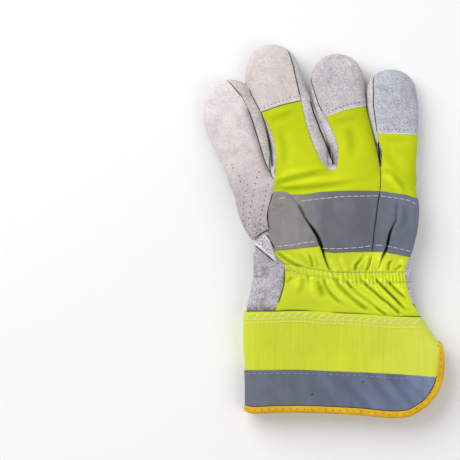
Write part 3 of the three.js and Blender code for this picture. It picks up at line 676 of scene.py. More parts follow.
MIDDLE_CAP_END = at((261.2, 111.6), (280, 105.2), (300.8, 100))
RING_CAP_END = at((325.6, 117), (345, 109.5), (366, 105.5))
LITTLE_CAP_END = at((377.2, 133), (395, 133.6), (418.2, 134.5))
LAP_A = np.concatenate([at((281.5, 150), (283, 180)),
                        LAPPED_FOLDS[0][0], at((343, 290), (351, 301), (360, 312), (368, 324))])
LAP_B = np.concatenate([at((397, 150), (396.6, 190), (396.4, 201)),
                        LAPPED_FOLDS[1][0], at((378, 282), (386, 294), (398, 309), (408, 324))])


def x_on(line, y):
    order = np.argsort(line[:, 1])
    return np.interp(y, line[order, 1], line[order, 0])


def denser_end(t, least):
    """Shares that get closer together towards 1, down to this share of the even spacing."""
    return least * t + (1 - least) * (1 - (1 - t) ** 2)


HAND_BOTTOM = -66.0
WRIST_ROWS = 116  # rows from the hand's end to the upper side of the elastic
UPPER_ROWS = 84
WRIST_SHARE = 0.42
FINGER_ROWS = 76
LITTLE_ROWS = 40


def row_shares():
    low = WRIST_SHARE * even(WRIST_ROWS)
    return np.concatenate([low, blend(WRIST_SHARE, 1, even(UPPER_ROWS)[1:])])


def main_columns():
    """Shares across the large panel, from -1 through 0 at its lapped fold to 1."""
    t = even(84)
    right = 0.3 * t + 0.7 * ((1 - np.cos(math.pi * t ** 0.8)) / 2)
    return np.concatenate([denser_end(even(40), 0.3) - 1, right[1:]])


def little_columns():
    """The same for the small panel."""
    right = 0.25 * even(44) + 0.75 * quarter(44) ** 0.9
    return np.concatenate([denser_end(even(22), 0.4) - 1, right[1:]])


def right_edge(y):
    return np.minimum(column(HAND_FINE, y, 2), column(HAND_FINE, y, 8))


def main_sides(y, over=0.0):
    """The large panel's left edge, its lapped fold and its right edge."""
    return column(HAND_FINE, y, 6), x_on(LAP_A, y), column(HAND_FINE, y, 7) + over


def little_sides(y, over=0.0):
    """The same for the small panel."""
    return column(HAND_FINE, y, 7) + GAP - over, x_on(LAP_B, y), right_edge(y)


def spread(y, share, sides):
    """Places across at y, for shares from -1 at the left side through 0 to 1 at the right one."""
    left, middle, right = sides(y)
    return np.where(share < 0, middle + (middle - left) * share, middle + (right - middle) * share)


def meet(line, share, sides, y, rounds=8):
    """Where the columns at these shares meet a line that runs across them: y, from a first guess."""
    y = np.full(share.shape, y)
    for _ in range(rounds):
        y = np.interp(spread(y, share, sides), *line.T)
    return y


def hand_rows(top, share, sides, settled):
    """Rows of places from the hand's end up to the top row, which they follow past this share."""
    v = row_shares()[:, None]
    y = HAND_BOTTOM + v * (top[None, :, 1] - HAND_BOTTOM)
    x = spread(y, share[None], sides)
    x += smooth((v - settled) / (1 - settled)) * (top[None, :, 0] - x[-1:])
    return np.stack([x, y], -1)


def main_hand():
    """The hand's part of the large fabric panel, and its column at the middle crotch."""
    share = main_columns()
    root = spaced(np.array([CROTCH_INDEX, (-15, 41.2), CROTCH_MIDDLE, (23, 44.4), CROTCH_RING]), 1)
    y = meet(root, share, main_sides, 42.0)
    x = spread(y, share, main_sides)
    x += np.interp(share, [-1, 1], [CROTCH_INDEX[0] - x[0], CROTCH_RING[0] - x[-1]])
    top = np.stack([x, y], -1)
    middle = int(np.argmin(np.abs(x - CROTCH_MIDDLE[0])))
    top += bell(np.arange(len(x)) - middle, 6.0)[:, None] * (CROTCH_MIDDLE - top[middle])
    top[0], top[-1] = CROTCH_INDEX, CROTCH_RING
    return hand_rows(top, share, main_sides, 0.8), middle


def finger_fabric(root, left, right, end, rows, settle, columns):
    """A finger's fabric from its root row up to its cap's edge."""
    grid = patch(root, resampled(end, columns), left, right, rows)
    share = lengths(root) / lengths(root)[-1]
    across = blend(share[None], columns[None], smooth(even(rows) / settle)[:, None])
    out = []
    for row, wanted in zip(grid, across):
        along = lengths(row)
        out.append(between(wanted * along[-1], along, row))
    out[0] = root
    return np.array(out)


def under_cap(grid, rows=4, deep=1.3):
    """The grid with more rows that go on under the cap, and how deep each row is sunk."""
    last, before = grid[-1], grid[-2]
    along = unit((last - before).mean(0))
    more = [last + along * 0.75 * (k + 1) for k in range(rows)]
    sink = np.concatenate([np.zeros(len(grid)), deep * smooth((np.arange(rows) + 1.0) / 3)])
    sink[len(grid) - 1] = 0.15 * deep
    return np.concatenate([grid, np.array(more)]), sink[:, None]


def main_blocks():
    """The large panel: its part of the hand, and those of the middle and ring fingers."""
    hand, middle = main_hand()
    ring_right = outline_of("ring", 1, position("ring", CROTCH_RING), 40, position("ring", RING_CAP_END[-1]))
    ring_right[0], ring_right[-1] = CROTCH_RING, RING_CAP_END[-1]
    blocks = [with_height(hand, ["middle", "ring"])]
    for root, left, right, end, turned_left in [
        (hand[-1, :middle + 1], MIDDLE_LEFT, MIDDLE_RIGHT, MIDDLE_CAP_END, True),
        (hand[-1, middle:], RING_LEFT, ring_right, RING_CAP_END, False),
    ]:
        columns = round_ends(len(root) - 1, turned_left, not turned_left)
        grid, sink = under_cap(finger_fabric(root, left, right, end, FINGER_ROWS, 0.3, columns))
        blocks.append(with_height(grid, ["middle", "ring"], sink))
    return blocks


def little_hand():
    """The hand's part of the small fabric panel."""
    share = little_columns()
    corner = outline_of("little", 1, 0.95, 0)[0]
    root = spaced(np.array([CROTCH_RING + (GAP, 0), (48, 45.4), (58, 45.0), corner]), 1)
    x = spread(meet(root, share, little_sides, 44.0), share, little_sides)
    x = root[0, 0] + (x - x[0]) * (root[-1, 0] - root[0, 0]) / (x[-1] - x[0])
    top = np.stack([x, np.interp(x, *root.T)], -1)
    return hand_rows(top, share, little_sides, 0.75)


def little_blocks():
    """The small panel: its part of the hand, and that of the little finger."""
    hand = little_hand()
    root = hand[-1]
    left = LITTLE_LEFT + (GAP, 0)
    right = outline_of("little", 1, 0.95, 40, position("little", LITTLE_CAP_END[-1]))
    end = LITTLE_CAP_END.copy()
    left[0], right[0] = root[0], root[-1]
    end[0], right[-1] = left[-1], end[-1]
    grid = finger_fabric(root, left, right, end, LITTLE_ROWS, 0.4, round_ends(len(root) - 1, False, True))
    grid, sink = under_cap(grid)
    return [with_height(hand, ["little"]), with_height(grid, ["little"], sink)]


def with_folds(blocks):
    return [np.concatenate([folded(b[..., :3]), b[..., 3:]], -1) for b in blocks]


def points_of(obj):
    places = np.empty(3 * len(obj.data.vertices))
    obj.data.vertices.foreach_get("co", places)
    return places.reshape(-1, 3) / MM


def mark(obj, depth):
    """Gives each point of a piece a depth, which its material turns into painted shade, as it does for a
    fold.
    """
    obj.data.attributes.new("fold", "FLOAT", "POINT").data.foreach_set("value", depth.astype(np.float32))


def paint_fold_shade(obj):
    """Marks a piece by how deep it lies in the folds, for the painted shade of its material."""
    mark(obj, -folded(points_of(obj) * (1, 1, 0))[:, 2])


def paint_edge_shade(obj, shades):
    """Marks a piece for painted shade along lines of its upper side: line, depth, and width on its left and
    right.
    """
    x, y, z = points_of(obj).T
    depth = np.zeros(len(x))
    for line, deep, left, right in shades:
        away, share = near(x, y, line)
        ends = smooth(share / 0.15) * smooth((1 - share) / 0.15)
        depth += deep * ends * bell(away, np.where(away < 0, left, right))
    mark(obj, depth * smooth((z - 7) / 4))


# The tape across the knuckles: the same surfaces, raised, between two curved edges

TAPE_TOP = at((266, 192.6), (275, 191.9), (284, 191.6), (290, 194.4), (303, 194.6), (319, 192.3),
              (334, 191.3), (349, 190.8), (365, 190.8), (380, 191.3), (392, 193), (405.6, 194.9),
              (412.8, 197.2), (423, 200.5))
TAPE_BOTTOM = at((266, 251), (276, 250.3), (287.6, 249.2), (303, 247.7), (317.6, 246.3), (319.8, 247.2),
                 (321.6, 251.3), (333.8, 252.6), (350, 251.8), (364.6, 251.6), (382, 251.6),
                 (392.3, 253.5), (405.6, 256.2), (416, 258.5))
TAPE_ROWS = 104
TAPE_RAISE = 0.65


def tape_grid(share, sides):
    """Places of one part of the tape, rows running from its lower edge to its upper one."""
    low, high = meet(TAPE_BOTTOM, share, sides, -13.0, 10), meet(TAPE_TOP, share, sides, 27.0, 10)
    y = blend(low, high, even(TAPE_ROWS)[:, None])
    return np.stack([spread(y, share, sides), y], -1)


def tape_blocks():
    """The tape's parts on the two panels, which meet at the seam."""
    main = tape_grid(main_columns(), lambda y: main_sides(y, 0.1))
    little = tape_grid(little_columns(), lambda y: little_sides(y, 0.1))
    return [with_height(main, ["middle", "ring"], -TAPE_RAISE), with_height(little, ["little"], -TAPE_RAISE)]


# The suede panels of the back

CAP_LIFT = -0.35
INDEX_LIFT = -0.3


def meeting(body, tip):
    """A panel's body whose upper rows run into the first row of its round tip."""
    rows = 8
    body = body.copy()
    level = smooth((np.arange(len(body)) - len(body) + 1 + rows) / rows)[:, None, None]
    body[..., 2:] += level * (tip[:1, :, 2:] - body[-1:, :, 2:])
    return body


def cap_blocks(name, left, right, end):
    """A fingertip's cap: its round end, and the rest down to its cut edge."""
    rows = 36
    columns = round_ends(48, left is None, right is None)
    tip = tip_grid(name, 34, columns, CAP_LIFT)
    high = tip[0, :, :2]
    left = outline_of(name, -1, position(name, end[0]), 40) if left is None else left.copy()
    right = outline_of(name, 1, position(name, end[-1]), 40) if right is None else right.copy()
    low = end.copy()
    left[-1], right[-1] = high[0], high[-1]
    low[0], low[-1] = left[0], right[0]
    k = np.arange(rows + 1)[:, None]
    turned = 0.15 * np.exp(-k / 2.0) - 0.22 * bell(k - 4, 1.4)
    body = with_height(patch(resampled(low, columns), high, left, right, rows), [name], CAP_LIFT - turned)
    return [meeting(body, tip), tip]


INDEX_END = at((253, 242.2), (257.2, 236.6), (262, 232.2), (268.6, 229))
INDEX_RIGHT_LOW = at((268.6, 229), (267.1, 222), (267.6, 215), (270.2, 205), (272.9, 195), (273.8, 186),
                     (273.2, 179.5))


def thumb_side(y):
    """The outline on the thumb side, where the hand's edge runs into the index finger's."""
    t = np.linspace(0.05, 2.6, 80)
    finger = DIGIT["index"].place(t, np.full(80, -1.0))
    other = np.interp(y, finger[:, 1], finger[:, 0])
    other = other + 9 * (1 - smooth((y - 22) / 14)) + 0.6 * np.maximum(0, 18 - y)
    hand = column(HAND_FINE, y, 1) + 9 * smooth((y - 30) / 14)
    return -0.35 * np.logaddexp(-hand / 0.35, -other / 0.35)


def hand_outline_left(y):
    """The same outline, smoothed over a few millimetres."""
    places = np.arange(-14, 76, 0.25)
    weight = bell(np.arange(-36, 37), 15.0)
    padded = np.pad(thumb_side(places), 36, mode="reflect", reflect_type="odd")
    return np.interp(y, places, np.convolve(padded, weight / weight.sum(), "valid"))


# Shallow dents of the index panel: line, depth and width
INDEX_DENTS = [
    (at((232, 160), (243, 178), (254, 196)), 0.9, 5.5),
    (at((228, 172), (238, 190), (246, 205)), 0.7, 4.0),
    (at((246, 178), (257, 186)), 0.5, 4.5),
    (at((243, 205), (250, 222)), 0.6, 4.0),
    (at((252, 200), (262, 208)), -0.5, 5.0),
]


def index_blocks():
    """The index finger's panel, from its end at the thumb's seam up to the round tip."""
    rows = 190
    columns = 0.3 * even(56) + 0.7 * round_ends(56, True, False)
    tip = tip_grid("index", 34, columns, INDEX_LIFT)
    high = tip[0, :, :2]
    y = np.linspace(INDEX_END[0, 1], 62, 70)
    left = np.stack([hand_outline_left(y) + 1.3 * bell(y - y[0], 5), y], -1)
    left = np.concatenate([left, outline_of("index", -1, position("index", left[-1]), 30)[1:]])
    right = np.concatenate([INDEX_RIGHT_LOW, INDEX_RIGHT[1:]])
    low = INDEX_END.copy()
    left[-1], right[-1], low[0] = high[0], high[-1], left[0]
    k = np.arange(rows + 1)[:, None]
    raised = (1.5 * bell(k, 16.0) + 0.6 * bell(k - 16, 30.0)) * smooth(4 * columns)
    lift = INDEX_LIFT - raised + 0.5 * np.exp(-k / 1.5)
    body = with_height(patch(resampled(low, columns), high, left, right, rows), ["index"], lift)
    for line, deep, wide in INDEX_DENTS:
        body[..., 2] -= deep * bell(near(body[..., 0], body[..., 1], line)[0], wide)
    return [meeting(body, tip), tip]


TAIL_LEFT = at((252.0, 240.5), (253.8, 243.4), (258.3, 246.6), (264, 251.4), (269.5, 255.9),
               (274.4, 260.8))
TAIL_RIGHT = at((262.5, 233.0), (266.0, 235.8), (269.2, 240.2), (271.2, 245.5), (273.2, 252),
                (275.2, 260.6))


def tail_blocks():
    """The small pale triangle beside the thumb's seam."""
    rows, columns = 44, 24
    left, right = resampled(TAIL_LEFT, 1 - even(rows)), resampled(TAIL_RIGHT, 1 - even(rows))
    grid = blend(left[:, None], right[:, None], even(columns)[:, None])
    k = np.arange(rows + 1)[:, None]
    sink = -1.0 + 0.7 * smooth((k - 33) / 11.0)
    rim = 0.45 * bell(1 - even(columns), 0.10) * smooth((rows - k) / 8.0)
    return [with_height(grid, ["index"], sink - rim)]


# The palm: the lower side of every finger and of the hand, and the strips of the same suede
# that come round to the back

ALL = list(DIGITS)
UNDER_COLUMNS = 30
STRIP_COLUMNS = 12
BODY_ROWS = 78
TIP_ROWS = 30
PALM_FINGERS = {
    # left and right seams, positions of the two root corners, and the corners themselves
    "index": (None, INDEX_RIGHT, (0.85, None), (0.9, CROTCH_INDEX)),
    "middle": (MIDDLE_LEFT, np.concatenate([MIDDLE_RIGHT, MIDDLE_CAP_RIGHT[1:]]),
               (0.75, CROTCH_INDEX), (1.05, CROTCH_MIDDLE)),
    "ring": (np.concatenate([RING_LEFT, RING_CAP_LEFT[1:]]), None, (0.92, CROTCH_MIDDLE), (1.0, CROTCH_RING)),
    "little": (np.concatenate([LITTLE_LEFT, LITTLE_CAP_LEFT[1:]]), None, (1.0, CROTCH_RING), (0.95, None)),
}


# Between fingers, the strips go deeper near the fingers' roots: from this y downwards, this much
CROTCH_GROOVES = {("little", -1): (66, 2.6), ("ring", -1): (62, 1.6), ("middle", 1): (62, 1.6)}


def finger_side(name, side, silhouette, tip_t, angle):
    """The strip between a seam on the back and the outline, or a narrow edge where there is none."""
    end = "left" if side < 0 else "right"
    seam = PALM_FINGERS[name][0 if side < 0 else 1]
    ends = np.full(len(tip_t), float(side))
    outline = np.concatenate([silhouette, DIGIT[name].place(tip_t, ends)])
    if seam is None:
        z, under = surface(*outline.T, [name]), surface(*outline.T, ALL, -1)
        z[BODY_ROWS + 1:] = on_digit(name, tip_t, ends, 1)[:, 2]
        under[BODY_ROWS + 1:] = on_digit(name, tip_t, ends, -1)[:, 2]
        z -= np.minimum(0.35, 0.4 * np.maximum(z - under, 0))
        return stacked(outline[:, None], z[:, None])
    if name == "middle" and side < 0:
        edge = np.concatenate([seam, outline_of(name, -1, position(name, seam[-1]) + 0.15, 14)])
    else:
        edge = seam.copy()
        edge[-1] = outline_of(name, tip_seam(name, end, 0.0), LAST, 0)[0]
    u_tip = tip_seam(name, end, angle)
    edge = np.concatenate([resampled(edge, even(BODY_ROWS)), DIGIT[name].place(tip_t, u_tip)])
    share = quarter(STRIP_COLUMNS)[None]
    places = blend(edge[:, None], outline[:, None], share[..., None])
    z = surface(places[..., 0], places[..., 1], [name])
    t_across = np.repeat(tip_t[:, None], STRIP_COLUMNS + 1, 1)
    z[BODY_ROWS + 1:] = on_digit(name, t_across, blend(u_tip[:, None], side, share), 1)[..., 2]
    width = np.linalg.norm(edge - outline, axis=1)[:, None]
    sink = 0.15 + 0.75 * bell(share * width, 0.7) * np.clip(width / 1.5, 0, 1)
    low, deep = CROTCH_GROOVES.get((name, side), (0, 0))
    sink = sink + deep * smooth((low - places[..., 1]) / 10) * np.clip(share * 2, 0, 1)
    return stacked(places, z, sink)


def palm_finger(name):
    """One finger of the palm piece, rows from its root to its tip, and its root row."""
    _, _, (t_left, corner_left), (t_right, corner_right) = PALM_FINGERS[name]
    u = np.cos(math.pi * (1 - even(UNDER_COLUMNS)))[None]
    s = even(BODY_ROWS)[:, None]
    t = blend(blend(t_left, t_right, (u + 1) / 2), LAST, s)
    places = DIGIT[name].place(t, np.broadcast_to(u, t.shape))
    for corner, weight, end in ((corner_left, (1 - u) / 2, 0), (corner_right, (1 + u) / 2, -1)):
        if corner is not None:
            places = places + (corner - places[0, end]) * ((1 - s) ** 7 * weight ** 3)[..., None]
    angle = tip_angles(TIP_ROWS)[1:]
    tip_t = LAST + angle / 90
    tip = on_digit(name, np.repeat(tip_t[:, None], u.size, 1), np.repeat(u, len(tip_t), 0), -1)
    under = np.concatenate([places, tip[..., :2]])
    z = surface(under[..., 0], under[..., 1], ALL, -1)
    z[BODY_ROWS + 1:] = tip[..., 2]
    under = stacked(under, np.maximum(z, 0))
    left = finger_side(name, -1, places[:, 0], tip_t, angle)
    right = finger_side(name, 1, places[:, -1], tip_t, angle)
    return np.concatenate([left, under, right[:, ::-1]], 1), under[0]


def hand_strip(outline, edge, wide, hidden, inward, name):
    """The palm's suede from the outline inwards, sunk where it is hidden and past the fabric's edge."""
    across = quarter(22) ** 0.8
    x = blend((outline[:, 0] + inward * wide)[:, None], outline[:, :1], across)
    y = np.repeat(outline[:, 1:], len(across), 1)
    past = smooth((inward * (x - edge[:, None]) + 0.2) / 1.2)
    sink = (0.2 + 1.3 * np.maximum(hidden[:, None], past)) * smooth(np.abs(x - outline[:, :1]))
    return stacked(np.stack([x, y], -1), surface(x, y, [name]), sink)


def palm_hand(root):
    """The hand's part of the palm piece, from the wrist up to the finger roots."""
    v = even(110)[:, None]
    y = HAND_BOTTOM + v * (root[None, :, 1] - HAND_BOTTOM)
    share = (root[:, 0] - root[0, 0]) / (root[-1, 0] - root[0, 0])
    share = blend(share[None], round_ends(len(share) - 1)[None], smooth((1 - v) / 0.3))
    low = np.where(y[:, :1] > 20, hand_outline_left(y[:, :1]), column(HAND_FINE, y[:, :1], 1))
    high = column(HAND_FINE, y[:, -1:], 2)
    low = low + smooth((v - 0.85) / 0.15) * (root[0, 0] - low[-1])
    high = high + smooth((v - 0.85) / 0.15) * (root[-1, 0] - high[-1])
    x = blend(low, high, share)
    x[-1], y[-1] = root[:, 0], root[:, 1]
    z = np.maximum(surface(x, y, ALL, -1), 0.0)
    z[-1] = root[:, 2]
    places = np.stack([x, y], -1)
    left, right = places[:, 0], places[:, -1]
    edge = column(HAND_FINE, left[:, 1], 6)
    wide = blend(2.0, edge + 2.4 - left[:, 0], smooth((12 - left[:, 1]) / 12))
    left = hand_strip(left, edge, wide, smooth((left[:, 1] + 4) / 8), 1.0, "index")
    edge = right_edge(right[:, 1])
    wide = blend(1.4, right[:, 0] - edge + 2.2, smooth((-5 - right[:, 1]) / 6))
    right = hand_strip(right, edge, wide, smooth((right[:, 1] + 14) / 6), -1.0, "little")
    return np.concatenate([left, stacked(places, z), right[:, ::-1]], 1)


def palm_blocks():
    fingers, roots = zip(*[palm_finger(name) for name in ALL])
    root = np.concatenate([roots[0], *[row[1:] for row in roots[1:]]])
    return [*fingers, palm_hand(root)]


# The thumb, folded under the palm

# Creases across it: position along it, depth and width
THUMB_FOLDS = [(1.6, 0.8, 0.16), (1.95, 0.9, 0.16), (2.35, 0.8, 0.15), (2.75, 0.6, 0.16), (3.2, 0.35, 0.2)]


def closing(row):
    """A row of points that all lie in the middle of the given row, which they close."""
    return np.repeat(row.mean(1, keepdims=True), row.shape[1], 1)


def thumb_tube():
    """The thumb as rings from under the palm to its round tip."""
    path_rows, around = 110, 64
    t = np.linspace(0, len(THUMB) - 1, path_rows)
    turn = quarter(26)[1:] ** 0.9 * math.pi / 2
    run = THUMB_TIP - THUMB[-1, :3]
    tip = np.repeat(THUMB[-1:], len(turn), 0)
    tip[:, :3] += run * np.sin(turn)[:, None]
    tip[:, 3] *= np.cos(turn) ** 0.92
    tip[:, 4] *= np.cos(turn) ** 0.6
    rows = np.concatenate([through(THUMB, t), tip])
    t = np.concatenate([t, len(THUMB) - 1 + turn])[:, None]
    along = np.gradient(rows[:, :3], axis=0)
    along[path_rows:] = run * (1, 1, 0)
    swing = np.radians(rows[:, 5])
    across = np.stack([-np.sin(swing), np.cos(swing), np.zeros(len(rows))], -1)
    up = unit(np.cross(unit(along), across))
    u, v = ring(around, FINGER_ROUND)
    round_it = even(around) * 2
    inset = -0.5 * (bell(round_it - 0.04, 0.05 / math.pi) + bell(round_it - 0.96, 0.05 / math.pi))
    for place, deep, wide in THUMB_FOLDS:
        inset = inset - deep * (0.45 - 0.55 * v) * bell(t + 0.12 * u - place, wide)
    half = (rows[:, 3:4] + 0.4 * inset) * u
    high = (rows[:, 4:5] + inset) * v
    points = rows[:, None, :3] + across[:, None] * half[..., None] + up[:, None] * high[..., None]
    points[:, -1] = points[:, 0]
    points[..., 2] = np.maximum(points[..., 2], 0.0)
    return np.concatenate([closing(points[:1]), points])


# The lining, which also shows dark between the panels


def lining_parts():
    """A closed tube in each digit, and a sack in the hand that is open towards the cuff."""
    u, v = ring(40, LINING_ROUND)
    parts = []
    for name in ALL:
        rows, across = DIGIT[name].section(np.concatenate([np.linspace(0.55, LAST, 50),
                                                           LAST + np.linspace(0.06, 0.86, 10)]))
        half, high = np.maximum(rows[:, 3:4] - 2.0, 0.5), np.maximum(rows[:, 4:5] - 2.0, 0.4)
        places = rows[:, None, :2] + across[:, None] * (half * u)[..., None]
        rings = stacked(places, rows[:, 2:3] + high * v)[..., :3]
        rings[:, -1] = rings[:, 0]
        parts.append(welded([np.concatenate([closing(rings[:1]), rings, closing(rings[-1:])])]))
    y = np.linspace(-66, 43, 60)[:, None]
    left, right, zl, zr, high = section_at(HAND_FINE, y)
    below = np.where(v > 0, 2.2 + 3.6 * smooth((38 - y) / 8), 2.0)
    layers = []
    for inset in (0.0, LINING):
        x = (left + right) / 2 + ((right - left) / 2 - 2.2 - inset) * u
        z = (zl + zr) / 2 + (zr - zl) / 2 * u + (high - below - inset) * v
        rings = np.stack(np.broadcast_arrays(x, y - inset, z), -1)
        rings[:, -1] = rings[:, 0]
        layers.append(np.concatenate([rings, closing(rings[-1:])]))
    parts.append(welded([np.concatenate([layers[1][::-1], layers[0]])]))
    return joined(parts)


# The cuff

CUFF_TOP = [(-57.2, -57.7), (-46, -57.5), (-34, -57.4), (-20, -56.9), (0, -57.4), (12, -58.6),
            (30, -59.3), (48, -60.7), (62, -61.2), (70.4, -61.6)]
CUFF_BOTTOM = [(-55.5, -129.0), (-50, -130.0), (-32, -129.3), (-14, -129.2), (6, -129.9), (26, -131.0),
               (44, -132.8), (54, -133.0), (63, -131.4), (73.5, -125.2)]
CUFF_SLIT_TOP = -80.0
CUFF_RIGHT = [(73.5, -125.2), (80.6, -116.6), (84.6, -107), (86.1, -97), (86.0, -90), (85.1, -84)]
CUFF_RIGHT += [(column(CUFF_FINE, y, 2), y) for y in np.linspace(CUFF_SLIT_TOP, -61.6, 12)]
CUFF_TAPE_TOP = [(-55.9, -99.3), (-36, -99.0), (-17, -98.9), (6, -99.9), (26, -100.7), (54, -102.1),
                 (85.4, -104.6)]
CUFF_COLUMNS = 130


def cuff_point(x, y, side, out=0.0):
    """A point of the cuff's upper or lower layer, this far outside its outer face."""
    left, right, zl, zr, high = section_at(CUFF_FINE, y)
    half = (right - left) / 2
    u = np.clip((x - (left + right) / 2) / half, -1, 1)
    v = side * crown(u, CUFF_ROUND, 0.0)
    wave = 0.22 * np.sin(x / 13.0 + 0.05 * y) + 0.16 * np.sin(x / 7.1 - y / 9.0 + 1.0)
    on_tape = smooth((-101 - y) / 8) * smooth((x + 5) / 30) * smooth((y + 127.5) / 6) * smooth((82.5 - x) / 8)
    wave = wave + 0.5 * np.sin((x + 0.8 * y) / 1.9) * on_tape
    z = (zl + zr) / 2 + (zr - zl) / 2 * u + high * v + np.where(side > 0, wave, 0) * np.abs(v)
    nx = np.sign(u) * np.abs(u) ** (CUFF_ROUND - 1) / half
    nz = np.sign(v) * np.abs(v) ** (CUFF_ROUND - 1) / high
    size = np.hypot(nx, nz)
    nx, nz = nx / size, nz / size
    z = np.maximum(z, CUFF_FLOOR) + nz * out
    return np.stack(np.broadcast_arrays(x + nx * out, y, z), -1)


def wrapped(places, out):
    """The places as one sheet: the upper layer, round the fold on the left, and the lower one."""
    top = cuff_point(places[:, ::-1, 0], places[:, ::-1, 1], 1.0, out)
    under = cuff_point(places[..., 0], places[..., 1], -1.0, out)
    return np.concatenate([top, under], 1)


def cuff_places(rows, high, right_to=1.0):
    """Places from the cuff's lower edge up to a line that ends at this share of its right edge."""
    share = 0.75 * round_ends(CUFF_COLUMNS, True, False) + 0.25 * even(CUFF_COLUMNS)
    low, high = resampled(CUFF_BOTTOM, share), resampled(high, share)
    right = resampled(CUFF_RIGHT, right_to * even(rows))
    right[0] = low[-1]
    closed = right[:, 1] > CUFF_SLIT_TOP
    right[closed, 0] = column(CUFF_FINE, right[closed, 1], 2)
    high[-1] = right[-1]
    y = low[0, 1] + (high[0, 1] - low[0, 1]) * even(rows)
    left = np.stack([column(CUFF_FINE, y, 1), y], -1)
    low[0, 0], high[0, 0] = left[0, 0], left[-1, 0]
    grid = coons(low, high, left, right)
    grid[..., 0] += (left[:, :1] - grid[:, :1, 0]) * (1 - share[None])
    return grid


def binding_path():
    """The cuff's edge from the slit round to the fold: its places, and the directions inwards."""
    whole = resampled(CUFF_RIGHT, even(400))
    right = whole[whole[:, 1] <= CUFF_SLIT_TOP + 0.6][::-2]
    bottom = resampled(CUFF_BOTTOM, round_ends(150, True, False)[::-1])
    line = np.concatenate([right, bottom[1:]])
    along = unit(np.gradient(line, axis=0))
    inward = np.stack([along[:, 1], -along[:, 0]], -1)
    inward[line[:, 0] < -48] = (0, 1)
    return line, inward


# The binding's section: how far in from the cuff's edge, and how far out from its outer face
BINDING_PROFILE = [(4.3, 0.6), (4.5, 0.95), (4.3, 1.4), (3.9, 1.65), (3.4, 1.6), (2.9, 1.4), (2.4, 1.6),
                   (1.8, 1.65), (1.0, 1.45), (0.2, 0.9), (-0.45, -0.8), (-0.2, -2.2), (0.6, -2.9),
                   (1.6, -3.1), (3.2, -3.1), (4.2, -3.0), (4.3, -2.6)]


def binding_grid():
    """The binding, folded over the edge of both layers. It narrows towards the slit."""
    line, inward = binding_path()
    width = 0.3 + 0.7 * smooth(lengths(line) / 16)
    sides = []
    for side in (1.0, -1.0):
        columns = []
        for reach, out in BINDING_PROFILE:
            place = line + inward * (max(reach, 0) * width)[:, None]
            moved = column(CUFF_FINE, place[:, 1], 1) - column(CUFF_FINE, line[:, 1], 1)
            place[:, 0] += np.where(line[:, 0] < -40, moved, 0)
            point = cuff_point(place[:, 0], place[:, 1], side, out)
            point[:, :2] += inward * min(reach, 0)
            columns.append(point)
        sides.append(np.stack(columns, 1))
    return np.concatenate([sides[0], sides[1][::-1]])


# Materials


def linear(code):
    """A colour written as three pairs of hexadecimal digits, in linear light."""
    values = [int(code[k:k + 2], 16) / 255 for k in (1, 3, 5)]
    return tuple(v / 12.92 if v <= 0.04045 else ((v + 0.055) / 1.055) ** 2.4 for v in values) + (1.0,)


